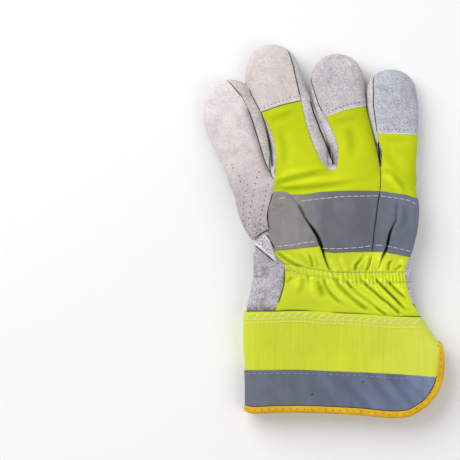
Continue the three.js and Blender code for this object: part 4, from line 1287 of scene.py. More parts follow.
class Look:
    """A material with a principled shader, and short ways to add nodes to it."""

    def __init__(self, name, roughness, sheen=0.0, specular=0.3):
        self.material = bpy.data.materials.new(name)
        self.material.use_nodes = True
        self.tree = self.material.node_tree
        self.shader = self.tree.nodes["Principled BSDF"]
        self.put(self.shader, {"Roughness": roughness, "Sheen Weight": sheen, "Sheen Roughness": 0.5,
                               "Specular IOR Level": specular})
        self.place = self.add("ShaderNodeTexCoord").outputs["Object"]

    def put(self, node, sockets):
        """Gives sockets of a node another node's output, a colour or a number."""
        for key, value in sockets.items():
            if isinstance(value, bpy.types.NodeSocket):
                self.tree.links.new(value, node.inputs[key])
            else:
                node.inputs[key].default_value = linear(value) if isinstance(value, str) else value

    def add(self, kind, sockets=(), **settings):
        node = self.tree.nodes.new(kind)
        for key, value in settings.items():
            setattr(node, key, value)
        self.put(node, dict(sockets))
        return node

    def mapped(self, kind, scale, turn):
        sockets = {"Scale": scale, "Rotation": (0, 0, turn), "Vector": self.place}
        return self.add("ShaderNodeMapping", sockets, vector_type=kind).outputs["Vector"]

    def scaled(self, x, y, z, turn=0.0):
        return self.mapped("POINT", (x, y, z), turn)

    def slanted(self, x, y, z, turn):
        """Places turned about Z first, and then scaled along the turned directions."""
        return self.mapped("TEXTURE", (1 / x, 1 / y, 1 / z), turn)

    def noise(self, scale, detail=3.0, rough=0.55, place=None, warp=0.0):
        sockets = {"Scale": scale, "Detail": detail, "Roughness": rough, "Distortion": warp}
        sockets["Vector"] = place or self.place
        return self.add("ShaderNodeTexNoise", sockets).outputs["Fac"]

    def waves(self, scale, place, warp=0.6, detail_scale=3.0):
        sockets = {"Scale": scale, "Distortion": warp, "Detail": 2.0, "Detail Scale": detail_scale}
        sockets["Vector"] = place
        return self.add("ShaderNodeTexWave", sockets).outputs["Fac"]

    def ramp(self, value, *stops):
        """The colours or greys of these stops, at this value."""
        node = self.add("ShaderNodeValToRGB", {"Fac": value})
        while len(node.color_ramp.elements) < len(stops):
            node.color_ramp.elements.new(0.5)
        for element, (place, shade) in zip(node.color_ramp.elements, stops):
            element.position = place
            element.color = linear(shade) if isinstance(shade, str) else (shade, shade, shade, 1)
        return node.outputs["Color"]

    def mixed(self, kind, factor, first, second):
        sockets = {0: factor, 6: first, 7: second}
        return self.add("ShaderNodeMix", sockets, data_type="RGBA", blend_type=kind).outputs[2]

    def bump(self, height, distance, strength, after=None):
        sockets = {"Distance": distance * MM, "Strength": strength, "Height": height}
        if after:
            sockets["Normal"] = after
        return self.add("ShaderNodeBump", sockets).outputs["Normal"]

    def share(self, value, low, high):
        """From 0 to 1 as the value goes from low to high."""
        sockets = {"From Min": low, "From Max": high, "Value": value}
        return self.add("ShaderNodeMapRange", sockets).outputs["Result"]

    def along(self, axis, low, high):
        """From 0 to 1 as the place along an axis goes from low to high, in mm."""
        node = self.add("ShaderNodeSeparateXYZ", {"Vector": self.place})
        return self.share(node.outputs[axis], low * MM, high * MM)

    def times(self, base, value, *stops):
        """The colour multiplied by the ramp's colour at this value."""
        return self.mixed("MULTIPLY", 1.0, base, self.ramp(value, *stops))

    def folds(self, base, *stops):
        """Painted shade: darker where the cloth lies deep in a fold or along a marked line, and lighter on
        ridges where the stops say so. Places from -1 mm to 4 mm deep are 0 to 1.
        """
        node = self.add("ShaderNodeAttribute", attribute_name="fold")
        return self.times(base, self.share(node.outputs["Fac"], -1, 4), *stops)

    def finish(self, color, normal):
        self.put(self.shader, {"Base Color": color, "Normal": normal})
        return self.material


def suede(name, light, middle, dark, speckle, cool, shades=(), pale=None, coarse=None, warm=None):
    """Split leather: a napped, mottled surface with a fine light and dark grain."""
    look = Look(name, 0.95, sheen=0.2, specular=0.08)
    blotch = look.noise(70, 4, 0.6, warp=0.6)
    base = look.ramp(blotch, (0.3, dark), (0.5, middle), (0.7, light))
    tint = look.noise(28, 2, 0.5)
    base = look.mixed("MIX", look.ramp(tint, (0.42, 0.0), (0.72, 0.55)), base, cool)
    for axis, low, high, stops in shades:
        base = look.times(base, look.along(axis, low, high), *stops)
    if pale:
        axis, low, high, code = pale
        base = look.mixed("MIX", look.along(axis, low, high), base, code)
    if warm:
        across, along, code = warm
        patch = look.mixed("MULTIPLY", 1.0, look.along("X", *across), look.along("Y", *along))
        base = look.mixed("MULTIPLY", patch, base, code)
    if coarse:
        low, high, amount = coarse
        flecked = look.times(base, look.noise(640, 4, 0.72), (0.38, 1.0 - amount), (0.56, 1.0))
        flecked = look.times(flecked, look.noise(120, 3, 0.6, warp=0.8), (0.36, 1.0 - amount), (0.54, 1.0))
        base = look.mixed("MIX", look.along("Y", low, high), base, flecked)
    # painted shade in folds and along the lines that a piece is marked with
    base = look.folds(base, (0.2, "#ffffff"), (1.0, "#404042"))
    grain = look.noise(950, 3, 0.65)
    base = look.times(base, grain, (0.34, 1.0 - 1.9 * speckle), (0.48, 1.0 - 0.6 * speckle), (0.62, 1.0))
    fleck = look.noise(1150, 2, 0.7, warp=0.4)
    base = look.mixed("MIX", look.ramp(fleck, (0.55, 0.0), (0.68, 2.6 * speckle)), base, light)
    fibre = look.noise(1700, 3, 0.7, warp=0.8)
    base = look.times(base, fibre, (0.34, 1.0 - 1.2 * speckle), (0.6, 1.0))
    patch = look.noise(170, 4, 0.65, warp=0.6)
    base = look.times(base, patch, (0.32, 1.0 - 0.9 * speckle), (0.62, 1.0))
    rough = look.bump(look.noise(800, 4, 0.7), 0.3, 0.5 + speckle)
    soft = look.bump(look.noise(160, 3, 0.6), 0.5, 0.45, after=rough)
    return look.finish(base, soft)


def fabric(name, bright, deep, rib):
    """Closely woven fluorescent cloth."""
    look = Look(name, 0.75, sheen=0.03, specular=0.12)
    cloud = look.noise(24, 3, 0.55, warp=0.4)
    base = look.ramp(cloud, (0.34, deep), (0.62, bright))
    base = look.times(base, look.along("Y", -5, 10), (0.0, "#ffffff"), (1.0, "#eeee84"))
    # painted shade in the folds, and painted highlight on the ridges
    base = look.folds(base, (0.0, "#ffffff"), (0.1, "#fcfcf6"), (0.2, "#ebecdf"), (0.32, "#dce3c6"),
                      (0.46, "#c0ce97"), (0.68, "#8fa35c"), (1.0, "#252e14"))
    # painted light: lighter towards the little finger's side
    base = look.times(base, look.along("X", 25, 62), (0.0, "#f4f4f4"), (1.0, "#ffffff"))
    base = look.times(base, look.noise(1200, 2, 0.6), (0.34, 0.93), (0.62, 1.0))
    cross = look.waves(rib, look.scaled(1, 0.02, 0.02), warp=0.4)
    weft = look.waves(rib * 0.9, look.scaled(0.02, 1, 0.02), warp=0.4)
    weave = look.mixed("ADD", 0.5, cross, weft)
    base = look.times(base, weave, (0.1, 0.95), (0.9, 1.0))
    fine = look.bump(weave, 0.06, 0.35)
    soft = look.bump(look.noise(120, 3, 0.5), 0.3, 0.3, after=fine)
    return look.finish(base, soft)


def canvas(name, bright, deep):
    """Stiffened canvas with fine ribs running up the cuff."""
    look = Look(name, 0.85, sheen=0.1, specular=0.2)
    base = look.ramp(look.noise(20, 3, 0.6), (0.35, deep), (0.65, bright))
    base = look.mixed("MIX", look.along("X", 20, 110), base, "#e3e95c")
    ribs = look.waves(330, look.scaled(1, 0.015, 0.4), warp=1.1, detail_scale=5)
    base = look.times(base, ribs, (0.0, 0.955), (1.0, 1.0))
    streak = look.noise(1, 3, 0.6, place=look.scaled(520, 26, 60))
    base = look.times(base, streak, (0.38, 0.95), (0.6, 1.0))
    fine = look.bump(ribs, 0.12, 0.5)
    soft = look.bump(look.noise(90, 3, 0.5), 0.4, 0.3, after=fine)
    return look.finish(base, soft)


def reflective(name, stops, wide, ripple_shaded=False):
    """Grey reflective tape, warmer at the thumb side, with soft creases and a fine beaded face. The change of
    tone across it is painted reflection.
    """
    look = Look(name, 0.55, specular=0.25)
    # painted reflection: the grey changes warmth and brightness across the tape
    base = look.ramp(look.along("X", -wide, wide), *stops)
    # painted shade in the creases, down to black in the lapped folds' gaps
    base = look.folds(base, (0.0, "#ffffff"), (0.2, "#fdfdfd"), (0.32, "#dcdde0"), (0.48, "#a8aaae"),
                      (0.72, "#4c4e52"), (0.98, "#0b0c0e"))
    # painted shade of soft wrinkles, in broad blotches
    wrinkle_shade = look.noise(46, 4, 0.6, warp=0.8)
    base = look.times(base, wrinkle_shade, (0.3, 0.84), (0.7, 1.0))
    crumple = look.noise(1, 3, 0.55, place=look.scaled(90, 34, 60, 0.6), warp=0.7)
    # the crumples' painted shade, besides their bump
    base = look.times(base, crumple, (0.36, 0.88), (0.62, 1.0))
    if ripple_shaded:
        # painted shade of soft diagonal ripples on the cuff's tape
        ripple_shade = look.noise(1, 2, 0.5, place=look.slanted(14, 120, 60, -0.9))
        shaded = look.times(base, ripple_shade, (0.36, 0.72), (0.62, 1.0))
        base = look.mixed("MIX", look.along("X", -30, 40), base, shaded)
    beads = look.bump(look.noise(2600, 2, 0.6), 0.05, 0.4)
    soft = look.bump(crumple, 0.5, 0.35, after=beads)
    return look.finish(base, soft)


def woven_edge(name, bright, deep):
    """Ribbed binding tape."""
    look = Look(name, 0.7, sheen=0.1, specular=0.25)
    base = look.ramp(look.noise(120, 3, 0.6), (0.35, deep), (0.65, bright))
    ribs = look.waves(420, look.scaled(1, 1, 0.3, 0.785), warp=0.8)
    base = look.times(base, ribs, (0.1, 0.9), (0.8, 1.0))
    return look.finish(base, look.bump(ribs, 0.15, 0.6))


def thread(name, light, dark):
    """Twisted thread, also used as the material of cords that stand in for shadows."""
    look = Look(name, 0.8, sheen=0.1)
    twist = look.waves(900, look.scaled(1, 1, 1, 0.6), warp=0.5)
    base = look.ramp(twist, (0.2, dark), (0.7, light))
    return look.finish(base, look.bump(twist, 0.06, 0.5))


# The index panel's leather darkens towards the hand: partly its own tone, partly painted shade.
INDEX_SUEDE = suede(
    "index_suede", "#faf1ef", "#f2e9e8", "#ddd5d6", 0.12, "#e6dde1", coarse=(40, 5, 0.22),
    shades=[("Y", -10, 110, [(0.0, "#d6d5d8"), (0.28, "#d9d5d6"), (0.5, "#e9e5e5"), (0.8, "#f9f8f8"),
                             (1.0, "#ffffff")])])
MIDDLE_SUEDE = suede("middle_suede", "#f1e5e1", "#e7dbd8", "#dbcfcb", 0.13, "#dfd5d6")
RING_SUEDE = suede("ring_suede", "#ede6e9", "#e3dce0", "#d3cdd2", 0.23, "#d6d2dc")
LITTLE_SUEDE = suede("little_suede", "#e7e9f3", "#dadde7", "#cacdd8", 0.25, "#cacfdd")
# The palm's leather turns lighter and bluer towards the little finger's side: a bluish tone, and painted
# light on that side.
PALM_SUEDE = suede(
    "palm_suede", "#f6f0f1", "#eae4e7", "#d7d2d7", 0.23, "#d7d9e1", pale=("X", 50, 59, "#eff7ff"),
    coarse=(5, -20, 0.3), warm=((-32, -44), (22, 34), "#fff8f0"),
    shades=[("Y", -40, 20, [(0.0, "#fafafe"), (0.5, "#fafafc"), (1.0, "#ffffff")]),
            ("Y", -57.5, -51.5, [(0.0, "#b4adab"), (0.5, "#e0dddd"), (1.0, "#ffffff")])])
TAIL_SUEDE = suede("tail_suede", "#fdf9fe", "#f6f2f9", "#e6e3eb", 0.27, "#e5e4ee")
YELLOW = fabric("fluorescent_fabric", "#f1fd3c", "#e3f236", 700)
CUFF_CANVAS = canvas("fluorescent_canvas", "#dae238", "#ced936")
HAND_TAPE_GREY = reflective(
    "hand_tape_grey", [(0.0, "#a09a96"), (0.36, "#96918e"), (0.5, "#777880"), (0.72, "#6d717a"),
                       (0.95, "#7a8193")], 70)
CUFF_TAPE_GREY = reflective(
    "cuff_tape_grey", [(0.0, "#737481"), (0.4, "#6d7383"), (0.7, "#727e98"), (1.0, "#8898bc")], 90, True)
AMBER = woven_edge("amber_tape", "#f0c11c", "#dfaa10")
WHITE_THREAD = thread("white_thread", "#dfe0e0", "#bfc2c4")
PALE_THREAD = thread("pale_thread", "#eaedaa", "#d8df7c")
ELASTIC_THREAD = thread("elastic_thread", "#f0f4b0", "#e0e888")
TAPE_THREAD = thread("tape_thread", "#a3acba", "#848c9a")
# Dark thread, also used for cords that stand in for shadows in seams, grooves, gaps and under edges.
DARK_THREAD_AND_SHADE = thread("dark_thread_and_shade", "#35322f", "#1f1d1b")
GREY_THREAD = thread("grey_thread", "#6f6765", "#514a48")
GREEN_SHADE = thread("green_shade", "#5b6628", "#3f481c")
BROWN_THREAD = thread("brown_thread", "#8a6420", "#5a4118")
PALE_RIM = thread("pale_rim", "#f6f3f8", "#e9e5ec")
LINING_COTTON = suede("lining_cotton", "#8f8983", "#827c77", "#736e6a", 0.10, "#7f7c7c")

# Making the pieces

SUEDE_PIECES = ["suede_palm", "index_suede_back", "middle_fingertip", "ring_fingertip", "little_fingertip",
                "thumb_seam_tail"]

paint_fold_shade(make("back_fabric", *closed_sheet(with_folds(main_blocks()), FABRIC), "hi_vis_fabric", YELLOW,
                "main_back"))
paint_fold_shade(make("little_finger_fabric", *closed_sheet(with_folds(little_blocks()), FABRIC), "hi_vis_fabric",
                YELLOW, "little_back"))
tape_sheets = [closed_sheet([block], TAPE) for block in with_folds(tape_blocks())]
paint_fold_shade(make("knuckle_tape", *joined(tape_sheets), "reflective", HAND_TAPE_GREY, "hand_tape"))

for name, left, right, end, material, slot in [
    ("middle", None, MIDDLE_CAP_RIGHT, MIDDLE_CAP_END, MIDDLE_SUEDE, "suede_pale"),
    ("ring", RING_CAP_LEFT, None, RING_CAP_END, RING_SUEDE, "suede_grey"),
    ("little", LITTLE_CAP_LEFT, None, LITTLE_CAP_END, LITTLE_SUEDE, "suede_grey"),
]:
    make(name + "_fingertip", *closed_sheet(cap_blocks(name, left, right, end), SUEDE), slot, material,
         name + "_cap")

index_back = make("index_suede_back", *closed_sheet(index_blocks(), SUEDE), "suede_pale", INDEX_SUEDE,
                  "index_back")
# painted shade along the index panel's right edge, where it rounds down to the seam
paint_edge_shade(index_back, [(INDEX_RIGHT, 2.1, 3.2, 3.2)])
make("thumb_seam_tail", *closed_sheet(tail_blocks(), SUEDE), "suede_pale", TAIL_SUEDE, "thumb_tail")

# Where the leather between two fingers is shaded: line, amount, and width on its left and right
PALM_SHADES = [
    (at((309, 98), (311.5, 106), (313.6, 113), (317, 122), (320, 130.5), (324, 140), (328, 150),
        (331, 158)), 0.8, 1.6, 0.4),
    (at((301.5, 96), (304, 104), (308, 115), (312.5, 127), (318, 140), (322, 150)), 0.4, 2.8, 2.8),
    (at((326, 143), (328.4, 149), (331, 155), (333.4, 161), (333.6, 168)), 2.3, 0.8, 4.6),
]
palm = make("suede_palm", *closed_sheet(palm_blocks(), SUEDE, True), "suede_grey", PALM_SUEDE, "palm")
paint_edge_shade(palm, PALM_SHADES)

make("suede_thumb", *welded([thumb_tube()]), "suede_pale", INDEX_SUEDE, "thumb")
make("lining", *lining_parts(), "suede_grey", LINING_COTTON)

canvas_grid = wrapped(cuff_places(84, CUFF_TOP), 0.0)
make("cuff_canvas", *closed_sheet([canvas_grid], CANVAS, True), "hi_vis_canvas", CUFF_CANVAS, "cuff")
band_grid = wrapped(cuff_places(40, CUFF_TAPE_TOP, 0.31), 0.7)
make("cuff_tape_band", *closed_sheet([band_grid], TAPE, True), "reflective", CUFF_TAPE_GREY, "cuff_tape")
points, faces = closed_sheet([binding_grid()], BINDING, True)
points[:, 2] = np.maximum(points[:, 2], 0.04)
make("cuff_edge_binding", points, faces, "binding", AMBER, "cuff_binding")

# Threads: each stitch rises out of the sheet that it is sewn through and dips back into it. Some cords
# further on stand in for shadows.


def tree_of(name):
    mesh = PIECES[name].data
    return BVHTree.FromPolygons([v.co / MM for v in mesh.vertices],
                                [tuple(f.vertices) for f in mesh.polygons])


def highest(*names):
    """A finder of the highest point of these pieces over a place, in mm."""
    trees = [tree_of(name) for name in names]

    def find(x, y):
        hits = [tree.ray_cast(Vector((x, y, 90)), Vector((0, 0, -1)))[0] for tree in trees]
        return max([hit.z for hit in hits if hit is not None], default=None)

    return find


def lowest(name):
    """A finder of the lowest point of a piece over a place, in mm."""
    tree = tree_of(name)

    def find(x, y):
        hit = tree.ray_cast(Vector((x, y, -30)), Vector((0, 0, 1)))[0]
        return None if hit is None else hit.z

    return find


def strand(path, radius):
    """A closed tube along a path of points, with a radius at each."""
    sides = 6
    along = unit(np.gradient(path, axis=0))
    across = unit(np.cross(along, (0, 0, 1.0)))
    lift = np.cross(across, along)
    turn = np.arange(sides)[:, None] * 2 * math.pi / sides
    around = across[:, None] * np.cos(turn) + lift[:, None] * np.sin(turn)
    rings = path[:, None] + radius[:, None, None] * around
    faces = []
    end = (len(path) - 1) * sides
    for start in range(0, end, sides):
        for k in range(sides):
            a, b = start + k, start + (k + 1) % sides
            faces.append([a, a + sides, b + sides, b])
    faces += [list(range(sides)), [end + k for k in reversed(range(sides))]]
    return rings.reshape(-1, 3), faces


def stitches(lines, find, dash, gap, radius, rise=0.5, up=1.0):
    """Stitches along lines, as tubes whose two ends dip into the surface. From below, up is -1."""
    heights = up * radius * np.array([-1.3, 0.0, rise, rise, 0.0, -1.3])
    thickness = radius * np.array([0.5, 0.95, 1, 1, 0.95, 0.5])
    parts = []
    for line in lines:
        path = spaced(line, 0.15)
        length = lengths(path)
        count = max(1, int((length[-1] + gap) / (dash + gap)))
        pitch = (length[-1] + gap) / count
        for k in range(count):
            s = k * pitch + (pitch - gap) * np.array([0, 0.12, 0.35, 0.65, 0.88, 1])
            places = between(s, length, path)
            below = [find(x, y) for x, y in places]
            if None not in below:
                parts.append(strand(np.column_stack([places, np.array(below) + heights]), thickness))
    return parts


def seam_lines(lines, find, radius, lift, step=1.2):
    """Thin cords that lie in the seams and along edges; most of them are dark ones that stand in for shadows.
    """
    parts = []
    for line in lines:
        places = spaced(line, step)
        heights = [find(x, y) for x, y in places]
        kept = [k for k, z in enumerate(heights) if z is not None]
        if len(kept) < 3:
            continue
        z = np.pad([heights[k] for k in kept], 1, mode="edge")
        z = np.convolve(z, [0.25, 0.5, 0.25], "valid") + lift
        order = np.arange(len(kept))
        fade = np.clip(np.minimum(order, order[::-1]) / 2.0, 0.35, 1)
        parts.append(strand(np.column_stack([places[kept], z]), radius * fade))
    return parts


def specks(points, find, length, radius, turn):
    """Single short stitches seen end on, at these points."""
    step = 0.5 * length * np.array([math.cos(turn), math.sin(turn)])
    return stitches([np.array([p - step, p, p + step]) for p in points], find, length, 0.2, radius, 0.25)


def beside(find, away):
    """The higher one of the surfaces at the two sides of a place."""
    def higher(x, y):
        found = [z for z in (find(x - away, y), find(x + away, y)) if z is not None]
        return max(found, default=None)
    return higher


def threads(name, parts, slot, material):
    return make(name, *joined(parts), slot, material)


on_tape = highest("knuckle_tape")
on_fabric = highest("back_fabric", "little_finger_fabric")
TAPE_STITCHES = [
    at((270, 203.6), (277.4, 199.5), (285.6, 197.4)),
    at((300, 201.5), (315, 199.5), (327.6, 198.2), (340, 196.9), (354, 196.4), (370, 196.1),
       (378, 195.9)),
    at((380, 195.9), (386, 197), (395, 198.2), (405.6, 199.8), (411.7, 202), (416.4, 204.7)),
    at((270, 247.2), (279, 246.2), (285, 245.6), (295.8, 244.6), (303, 242.6), (314.8, 241.5)),
    at((321.5, 248.2), (333.8, 248.7), (350, 248), (360.5, 247.2), (370.7, 245.6)),
    at((374.8, 245), (382, 245.3)),
    at((386, 245.8), (395, 247.7), (405.6, 250.3), (410.7, 251)),
]
threads("tape_stitches", stitches(TAPE_STITCHES, on_tape, 4.0, 0.55, 0.25), "reflective", WHITE_THREAD)
ELASTIC_STITCHES = [ELASTIC_UPPER[1:] + (0, -0.2), ELASTIC_LOWER[1:-1] + (0, 0.2)]
threads("elastic_stitches", stitches(ELASTIC_STITCHES, on_fabric, 2.3, 0.5, 0.28, 0.8), "hi_vis_fabric",
        ELASTIC_THREAD)

on_cuff = highest("cuff_canvas", "cuff_tape_band", "cuff_edge_binding")
RUNGS = 22  # of the ladder of stitches below the cuff's upper edge
CUFF_EDGE = at((244.5, 312.3), (260, 312.2), (276, 311.6), (288.5, 310.6), (303, 310.8), (319, 312.5),
               (340, 313.2), (360, 314.2), (376, 315.7), (391, 316.8), (412, 316.8), (421.5, 317))


def below_edge(steps, end):
    """A line this many steps below the cuff's upper edge, up to this share of its length."""
    return resampled(CUFF_EDGE, np.linspace(0, end, 60)) - (0, STEP * steps)


band = stitches([below_edge(7.0, 0.998), below_edge(10.6, 1.0)], on_cuff, 2.6, 0.4, 0.3, 0.6)
for k in range(RUNGS):
    low, high = resampled(CUFF_EDGE, (k + 0.1) / RUNGS), resampled(CUFF_EDGE, (k + 0.72) / RUNGS)
    for shift in (0.0, 0.9, 1.8):
        rung = np.array([low + (shift, -STEP * 6.4), (low + high) / 2 + (shift, -STEP * 3.8),
                         high + (shift, -STEP * 1.4)])
        band += stitches([rung], on_cuff, 5.5, 0.3, 0.24, 0.4)
threads("cuff_band_stitches", band, "hi_vis_canvas", PALE_THREAD)
CUFF_TAPE_STITCHES = [at((246, 373.6), (270, 373.2), (300, 373.2), (330, 374.2), (360, 375.4),
                         (400, 378), (433, 380.5))]
threads("cuff_tape_stitches", stitches(CUFF_TAPE_STITCHES, on_cuff, 2.7, 1.5, 0.2), "reflective",
        TAPE_THREAD)

BINDING_MIDDLE = at((437.5, 345), (440, 352), (441, 362), (440, 371), (437.5, 381), (431.5, 391),
                    (424, 401), (413, 410), (405, 413.4), (397, 414.2), (385, 413.7), (360, 411),
                    (330, 409.7), (300, 408.7), (275, 408.8), (255, 410.2), (247, 408.8))
threads("binding_stitches", stitches([BINDING_MIDDLE], on_cuff, 1.0, 4.0, 0.24), "binding", BROWN_THREAD)

on_suede = highest(*SUEDE_PIECES)
# Dark cords along the suede's edges, painted shadows under them: radius and line
DARK_EDGES = [
    (0.5, at((272.6, 192.3), (270.2, 201), (267.4, 211.2), (266.9, 219), (267.9, 228.4))),
    (0.62, at((265.4, 233.8), (268.4, 237.8), (270.6, 241.4), (272.6, 245), (274.6, 248.6))),
    (0.4, at((272.2, 248), (274.5, 248.6), (276.6, 248.8))),
    (0.42, at((267.8, 229.6), (262.2, 233.6), (258.6, 236.2), (257.2, 238.0))),
    (0.5, at((254.6, 245.2), (258.6, 248.6), (264.2, 253.4), (269.6, 257.7), (274.3, 261.8))),
]
# Dark cords in the grooves between the fingers: painted shadow.
GROOVES = [
    (0.42, at((248.6, 88), (251.4, 95), (256.4, 105), (261, 112.6), (266, 125), (269, 137), (270, 151),
              (269.2, 164), (270.4, 173), (273, 180))),
    (0.7, at((310, 100), (311.5, 106), (313.6, 113), (317, 122), (320, 130.5), (324, 140), (328, 150),
             (331, 158), (333, 164))),
    (0.65, at((333, 154), (333.2, 160), (333.4, 165.5))),
    (0.72, at((366.5, 112), (369, 122), (372, 134), (375.5, 148), (378, 158), (379.4, 166))),
    (0.72, at((378.6, 141), (379.4, 150), (379.8, 158), (379.8, 165))),
]


def tip_line(name, side, last):
    """The seam on the round end of a finger, up to this angle."""
    angle = np.linspace(0, last, 16)
    return DIGIT[name].place(LAST + angle / 90, tip_seam(name, side, angle))


# Dark cords along the suede's seams: painted shadow in their grooves.
SUEDE_SEAMS = [
    np.concatenate([INDEX_RIGHT[:-1], tip_line("index", "right", 78)]),
    np.concatenate([MIDDLE_CAP_RIGHT[:-1], tip_line("middle", "right", 58)]),
    np.concatenate([RING_CAP_LEFT[:-1], tip_line("ring", "left", 12)]),
    np.concatenate([LITTLE_CAP_LEFT[:-1], tip_line("little", "left", 44)]),
]
on_back = highest("suede_palm", "index_suede_back", "thumb_seam_tail", "knuckle_tape", "back_fabric")
dark = seam_lines(SUEDE_SEAMS, on_suede, 0.34, 0.02)
for radius, edge in GROOVES:
    dark += seam_lines([edge], on_suede, radius, -0.2, 0.8)
for radius, edge in DARK_EDGES:
    dark += seam_lines([edge], on_back, radius, -0.25, 0.8)
# painted shadows in the suede's seams, grooves and under its edges
threads("suede_seam_shadows", dark, "suede_grey", DARK_THREAD_AND_SHADE)
on_wrist = highest("cuff_canvas")
# A dark green cord along the cuff's upper edge: painted shadow of the edge on the cloth below it.
cuff_shadow = seam_lines([CUFF_EDGE + (0, 0.35)], lambda x, y: on_wrist(x, y - 0.9), 0.42, -1.3)
threads("cuff_edge_shadow", cuff_shadow, "hi_vis_canvas", GREEN_SHADE)
on_seam = highest("knuckle_tape", "back_fabric", "little_finger_fabric")


def panel_seam(high, low):
    """The seam between the two fabric panels, from one y down to another."""
    y = np.linspace(high, low, 30)
    return np.stack([column(HAND_FINE, y, 7) + GAP / 2, y], -1)


# A dark cord in the gap between the two panels under the tape: painted shadow.
seam = seam_lines([panel_seam(28, -14.6)], beside(on_seam, 0.5), 0.42, 0.0)
threads("panel_seam", seam, "reflective", DARK_THREAD_AND_SHADE)
join = seam_lines([panel_seam(-14.0, -62)], beside(on_fabric, 0.7), 0.55, -0.2, 0.8)
paint_fold_shade(threads("panel_join", join, "hi_vis_fabric", YELLOW))

# Shades along the fabric's edges: radius, lift and line
FABRIC_EDGES = [
    (0.42, 0.0, at((282.8, 262.4), (284.2, 266), (284.5, 271), (284.2, 278), (283.5, 285), (281.9, 291),
                   (280.1, 297), (278, 303))),
    (0.34, 0.0, at((411.4, 302.5), (414, 305.4), (416.4, 308.2), (418.4, 311.6), (420.4, 315))),
    (0.32, -0.05, MIDDLE_CAP_END - (0, 0.5)),
]
edges = []
for radius, lift, edge in FABRIC_EDGES:
    edges += seam_lines([edge], on_fabric, radius, lift, 0.8)
edges += seam_lines([panel_seam(44.0, 28.4)], beside(on_fabric, 0.5), 0.3, -0.12)
threads("fabric_edge_shade", edges, "hi_vis_fabric", GREEN_SHADE)
line, inward = binding_path()
shade_line = (line + inward * 4.75)[line[:, 1] < -104]
threads("binding_shade", seam_lines([shade_line], on_cuff, 0.36, -0.05), "binding", DARK_THREAD_AND_SHADE)
on_tail = highest("thumb_seam_tail", "suede_palm")
rim = seam_lines([TAIL_LEFT[1:] + (0.35, 0.35)], on_tail, 0.42, 0.12, 0.8)
rim += seam_lines([RING_CAP_END + (0, 0.1), LITTLE_CAP_END + (0, 0.1)], on_suede, 0.3, -0.1, 0.8)
threads("tail_rim", rim, "suede_pale", PALE_RIM)
TAPE_MARKS = at((311.8, 394), (363, 381.6))
threads("tape_marks", specks(TAPE_MARKS, on_cuff, 1.3, 0.36, 0.6), "reflective", DARK_THREAD_AND_SHADE)

HOLES = at((268, 185), (266, 191), (265, 196), (264, 201), (263, 206), (262, 210), (261, 214.5),
           (260, 219.5), (260, 225), (260, 230), (259, 172), (256.5, 177.5), (255, 184), (254, 190),
           (253, 196), (251.8, 201.5), (250.6, 207), (249.4, 212.5), (248.5, 218), (248.5, 224.5),
           (255, 237), (250, 235.5), (232, 165), (233, 168), (247, 185), (245.5, 191), (244.3, 197),
           (243.4, 203), (242.8, 209), (243, 215), (243.6, 221), (244.6, 226.5), (246.4, 231.5),
           (252.6, 230.4), (255.6, 226), (256.4, 232.4), (263.6, 226), (239, 176), (240.4, 182))
CAP_HOLES = [at((264, 107.6), (281, 101), (298.6, 96)), at((328, 112.2), (345, 105.5), (363.4, 101.6)),
             at((379.6, 129.2), (395, 129.8), (416, 130.6))]
TAIL_HOLES = at((259.2, 238.2), (261.6, 237.4), (264.2, 238.2), (266.4, 240.4), (267.8, 243.4),
                (268.9, 246.6), (270, 250), (271.2, 253.4), (260.2, 241), (262.6, 241), (264.6, 242.8),
                (265.8, 245.8), (267, 249), (268.4, 252.4), (262.4, 244.6), (263.8, 247.4),
                (265.6, 250.2), (259.4, 243.8))
LOW_HOLES = at((262.6, 257.6), (264.2, 259.6), (267, 260.2), (269, 261.6), (271.4, 262.6), (266.2, 262))
dots = specks(HOLES, on_suede, 0.9, 0.3, 1.2)
dots += specks(TAIL_HOLES, on_tail, 0.6, 0.24, 0.9)
dots += specks(LOW_HOLES, on_tail, 0.7, 0.22, 0.2)
dots += stitches(CAP_HOLES, on_suede, 0.8, 1.9, 0.26, 0.25)
threads("suede_stitches", dots, "suede_grey", GREY_THREAD)

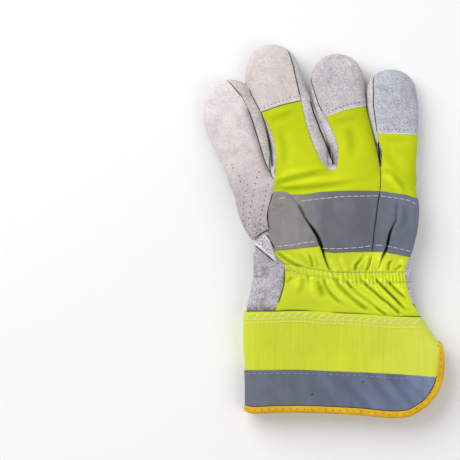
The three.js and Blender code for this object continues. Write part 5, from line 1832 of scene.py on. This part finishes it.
# The palm's two seams, seen from below, each between two rows of stitches
UNDER_SEAMS = [
    np.array([(14, 35), (30, 33), (46, 31.2), (60, 28.8)]),
    np.array([(-46, -8.5), (-38, -11.5), (-24, -12.5), (-9, -8.5)]),
]
under_palm = lowest("suede_palm")
threads("palm_seams", seam_lines(UNDER_SEAMS, under_palm, 0.36, 0.0), "suede_grey", DARK_THREAD_AND_SHADE)
beside_seams = [line + (0, away) for line in UNDER_SEAMS for away in (-1.7, 1.7)]
palm_rows = stitches(beside_seams, under_palm, 2.3, 0.9, 0.27, 0.5, -1.0)
threads("palm_stitches", palm_rows, "suede_grey", WHITE_THREAD)

# Floor, light and camera

FLOOR_HALF = 3
FLOOR_Z = -0.0002
corners = [(FLOOR_HALF * x, FLOOR_HALF * y, FLOOR_Z) for x, y in ((-1, -1), (1, -1), (1, 1), (-1, 1))]
floor_mesh = bpy.data.meshes.new("floor")
floor_mesh.from_pydata(corners, [], [(0, 1, 2, 3)])
floor = bpy.data.objects.new("floor", floor_mesh)
bpy.context.scene.collection.objects.link(floor)
floor_look = Look("floor", 0.9, specular=0.1)
floor_look.shader.inputs["Base Color"].default_value = (0.93, 0.93, 0.93, 1)
floor_mesh.materials.append(floor_look.material)

world = bpy.data.worlds.new("studio")
world.use_nodes = True
world.node_tree.nodes["Background"].inputs["Color"].default_value = (1, 1, 1, 1)
world.node_tree.nodes["Background"].inputs["Strength"].default_value = 0.44
bpy.context.scene.world = world


def area_light(name, place, size, power):
    """A round light that points at the origin."""
    data = bpy.data.lights.new(name, "AREA")
    data.shape = "DISK"
    data.size = size
    data.energy = power
    light = bpy.data.objects.new(name, data)
    bpy.context.scene.collection.objects.link(light)
    light.location = place
    light.rotation_euler = (-Vector(place)).to_track_quat("-Z", "Y").to_euler()


area_light("key", (-1.0, 1.0, 1.2), 1.9, 29)
area_light("fill", (1.0, -0.5, 1.5), 1.4, 7)

CAMERA_AWAY = 3.0
VIEW_WIDTH = 0.3289
SENSOR = 36
camera_data = bpy.data.cameras.new("camera")
camera = bpy.data.objects.new("camera", camera_data)
bpy.context.scene.collection.objects.link(camera)
camera_data.sensor_width = SENSOR
camera_data.lens = SENSOR * CAMERA_AWAY / VIEW_WIDTH
camera.location = (-0.0669, 0.0009, CAMERA_AWAY + 0.015)
camera.rotation_euler = (0, 0, 0)
camera_data.clip_end = 20
bpy.context.scene.camera = camera
bpy.context.scene.view_settings.view_transform = "Standard"
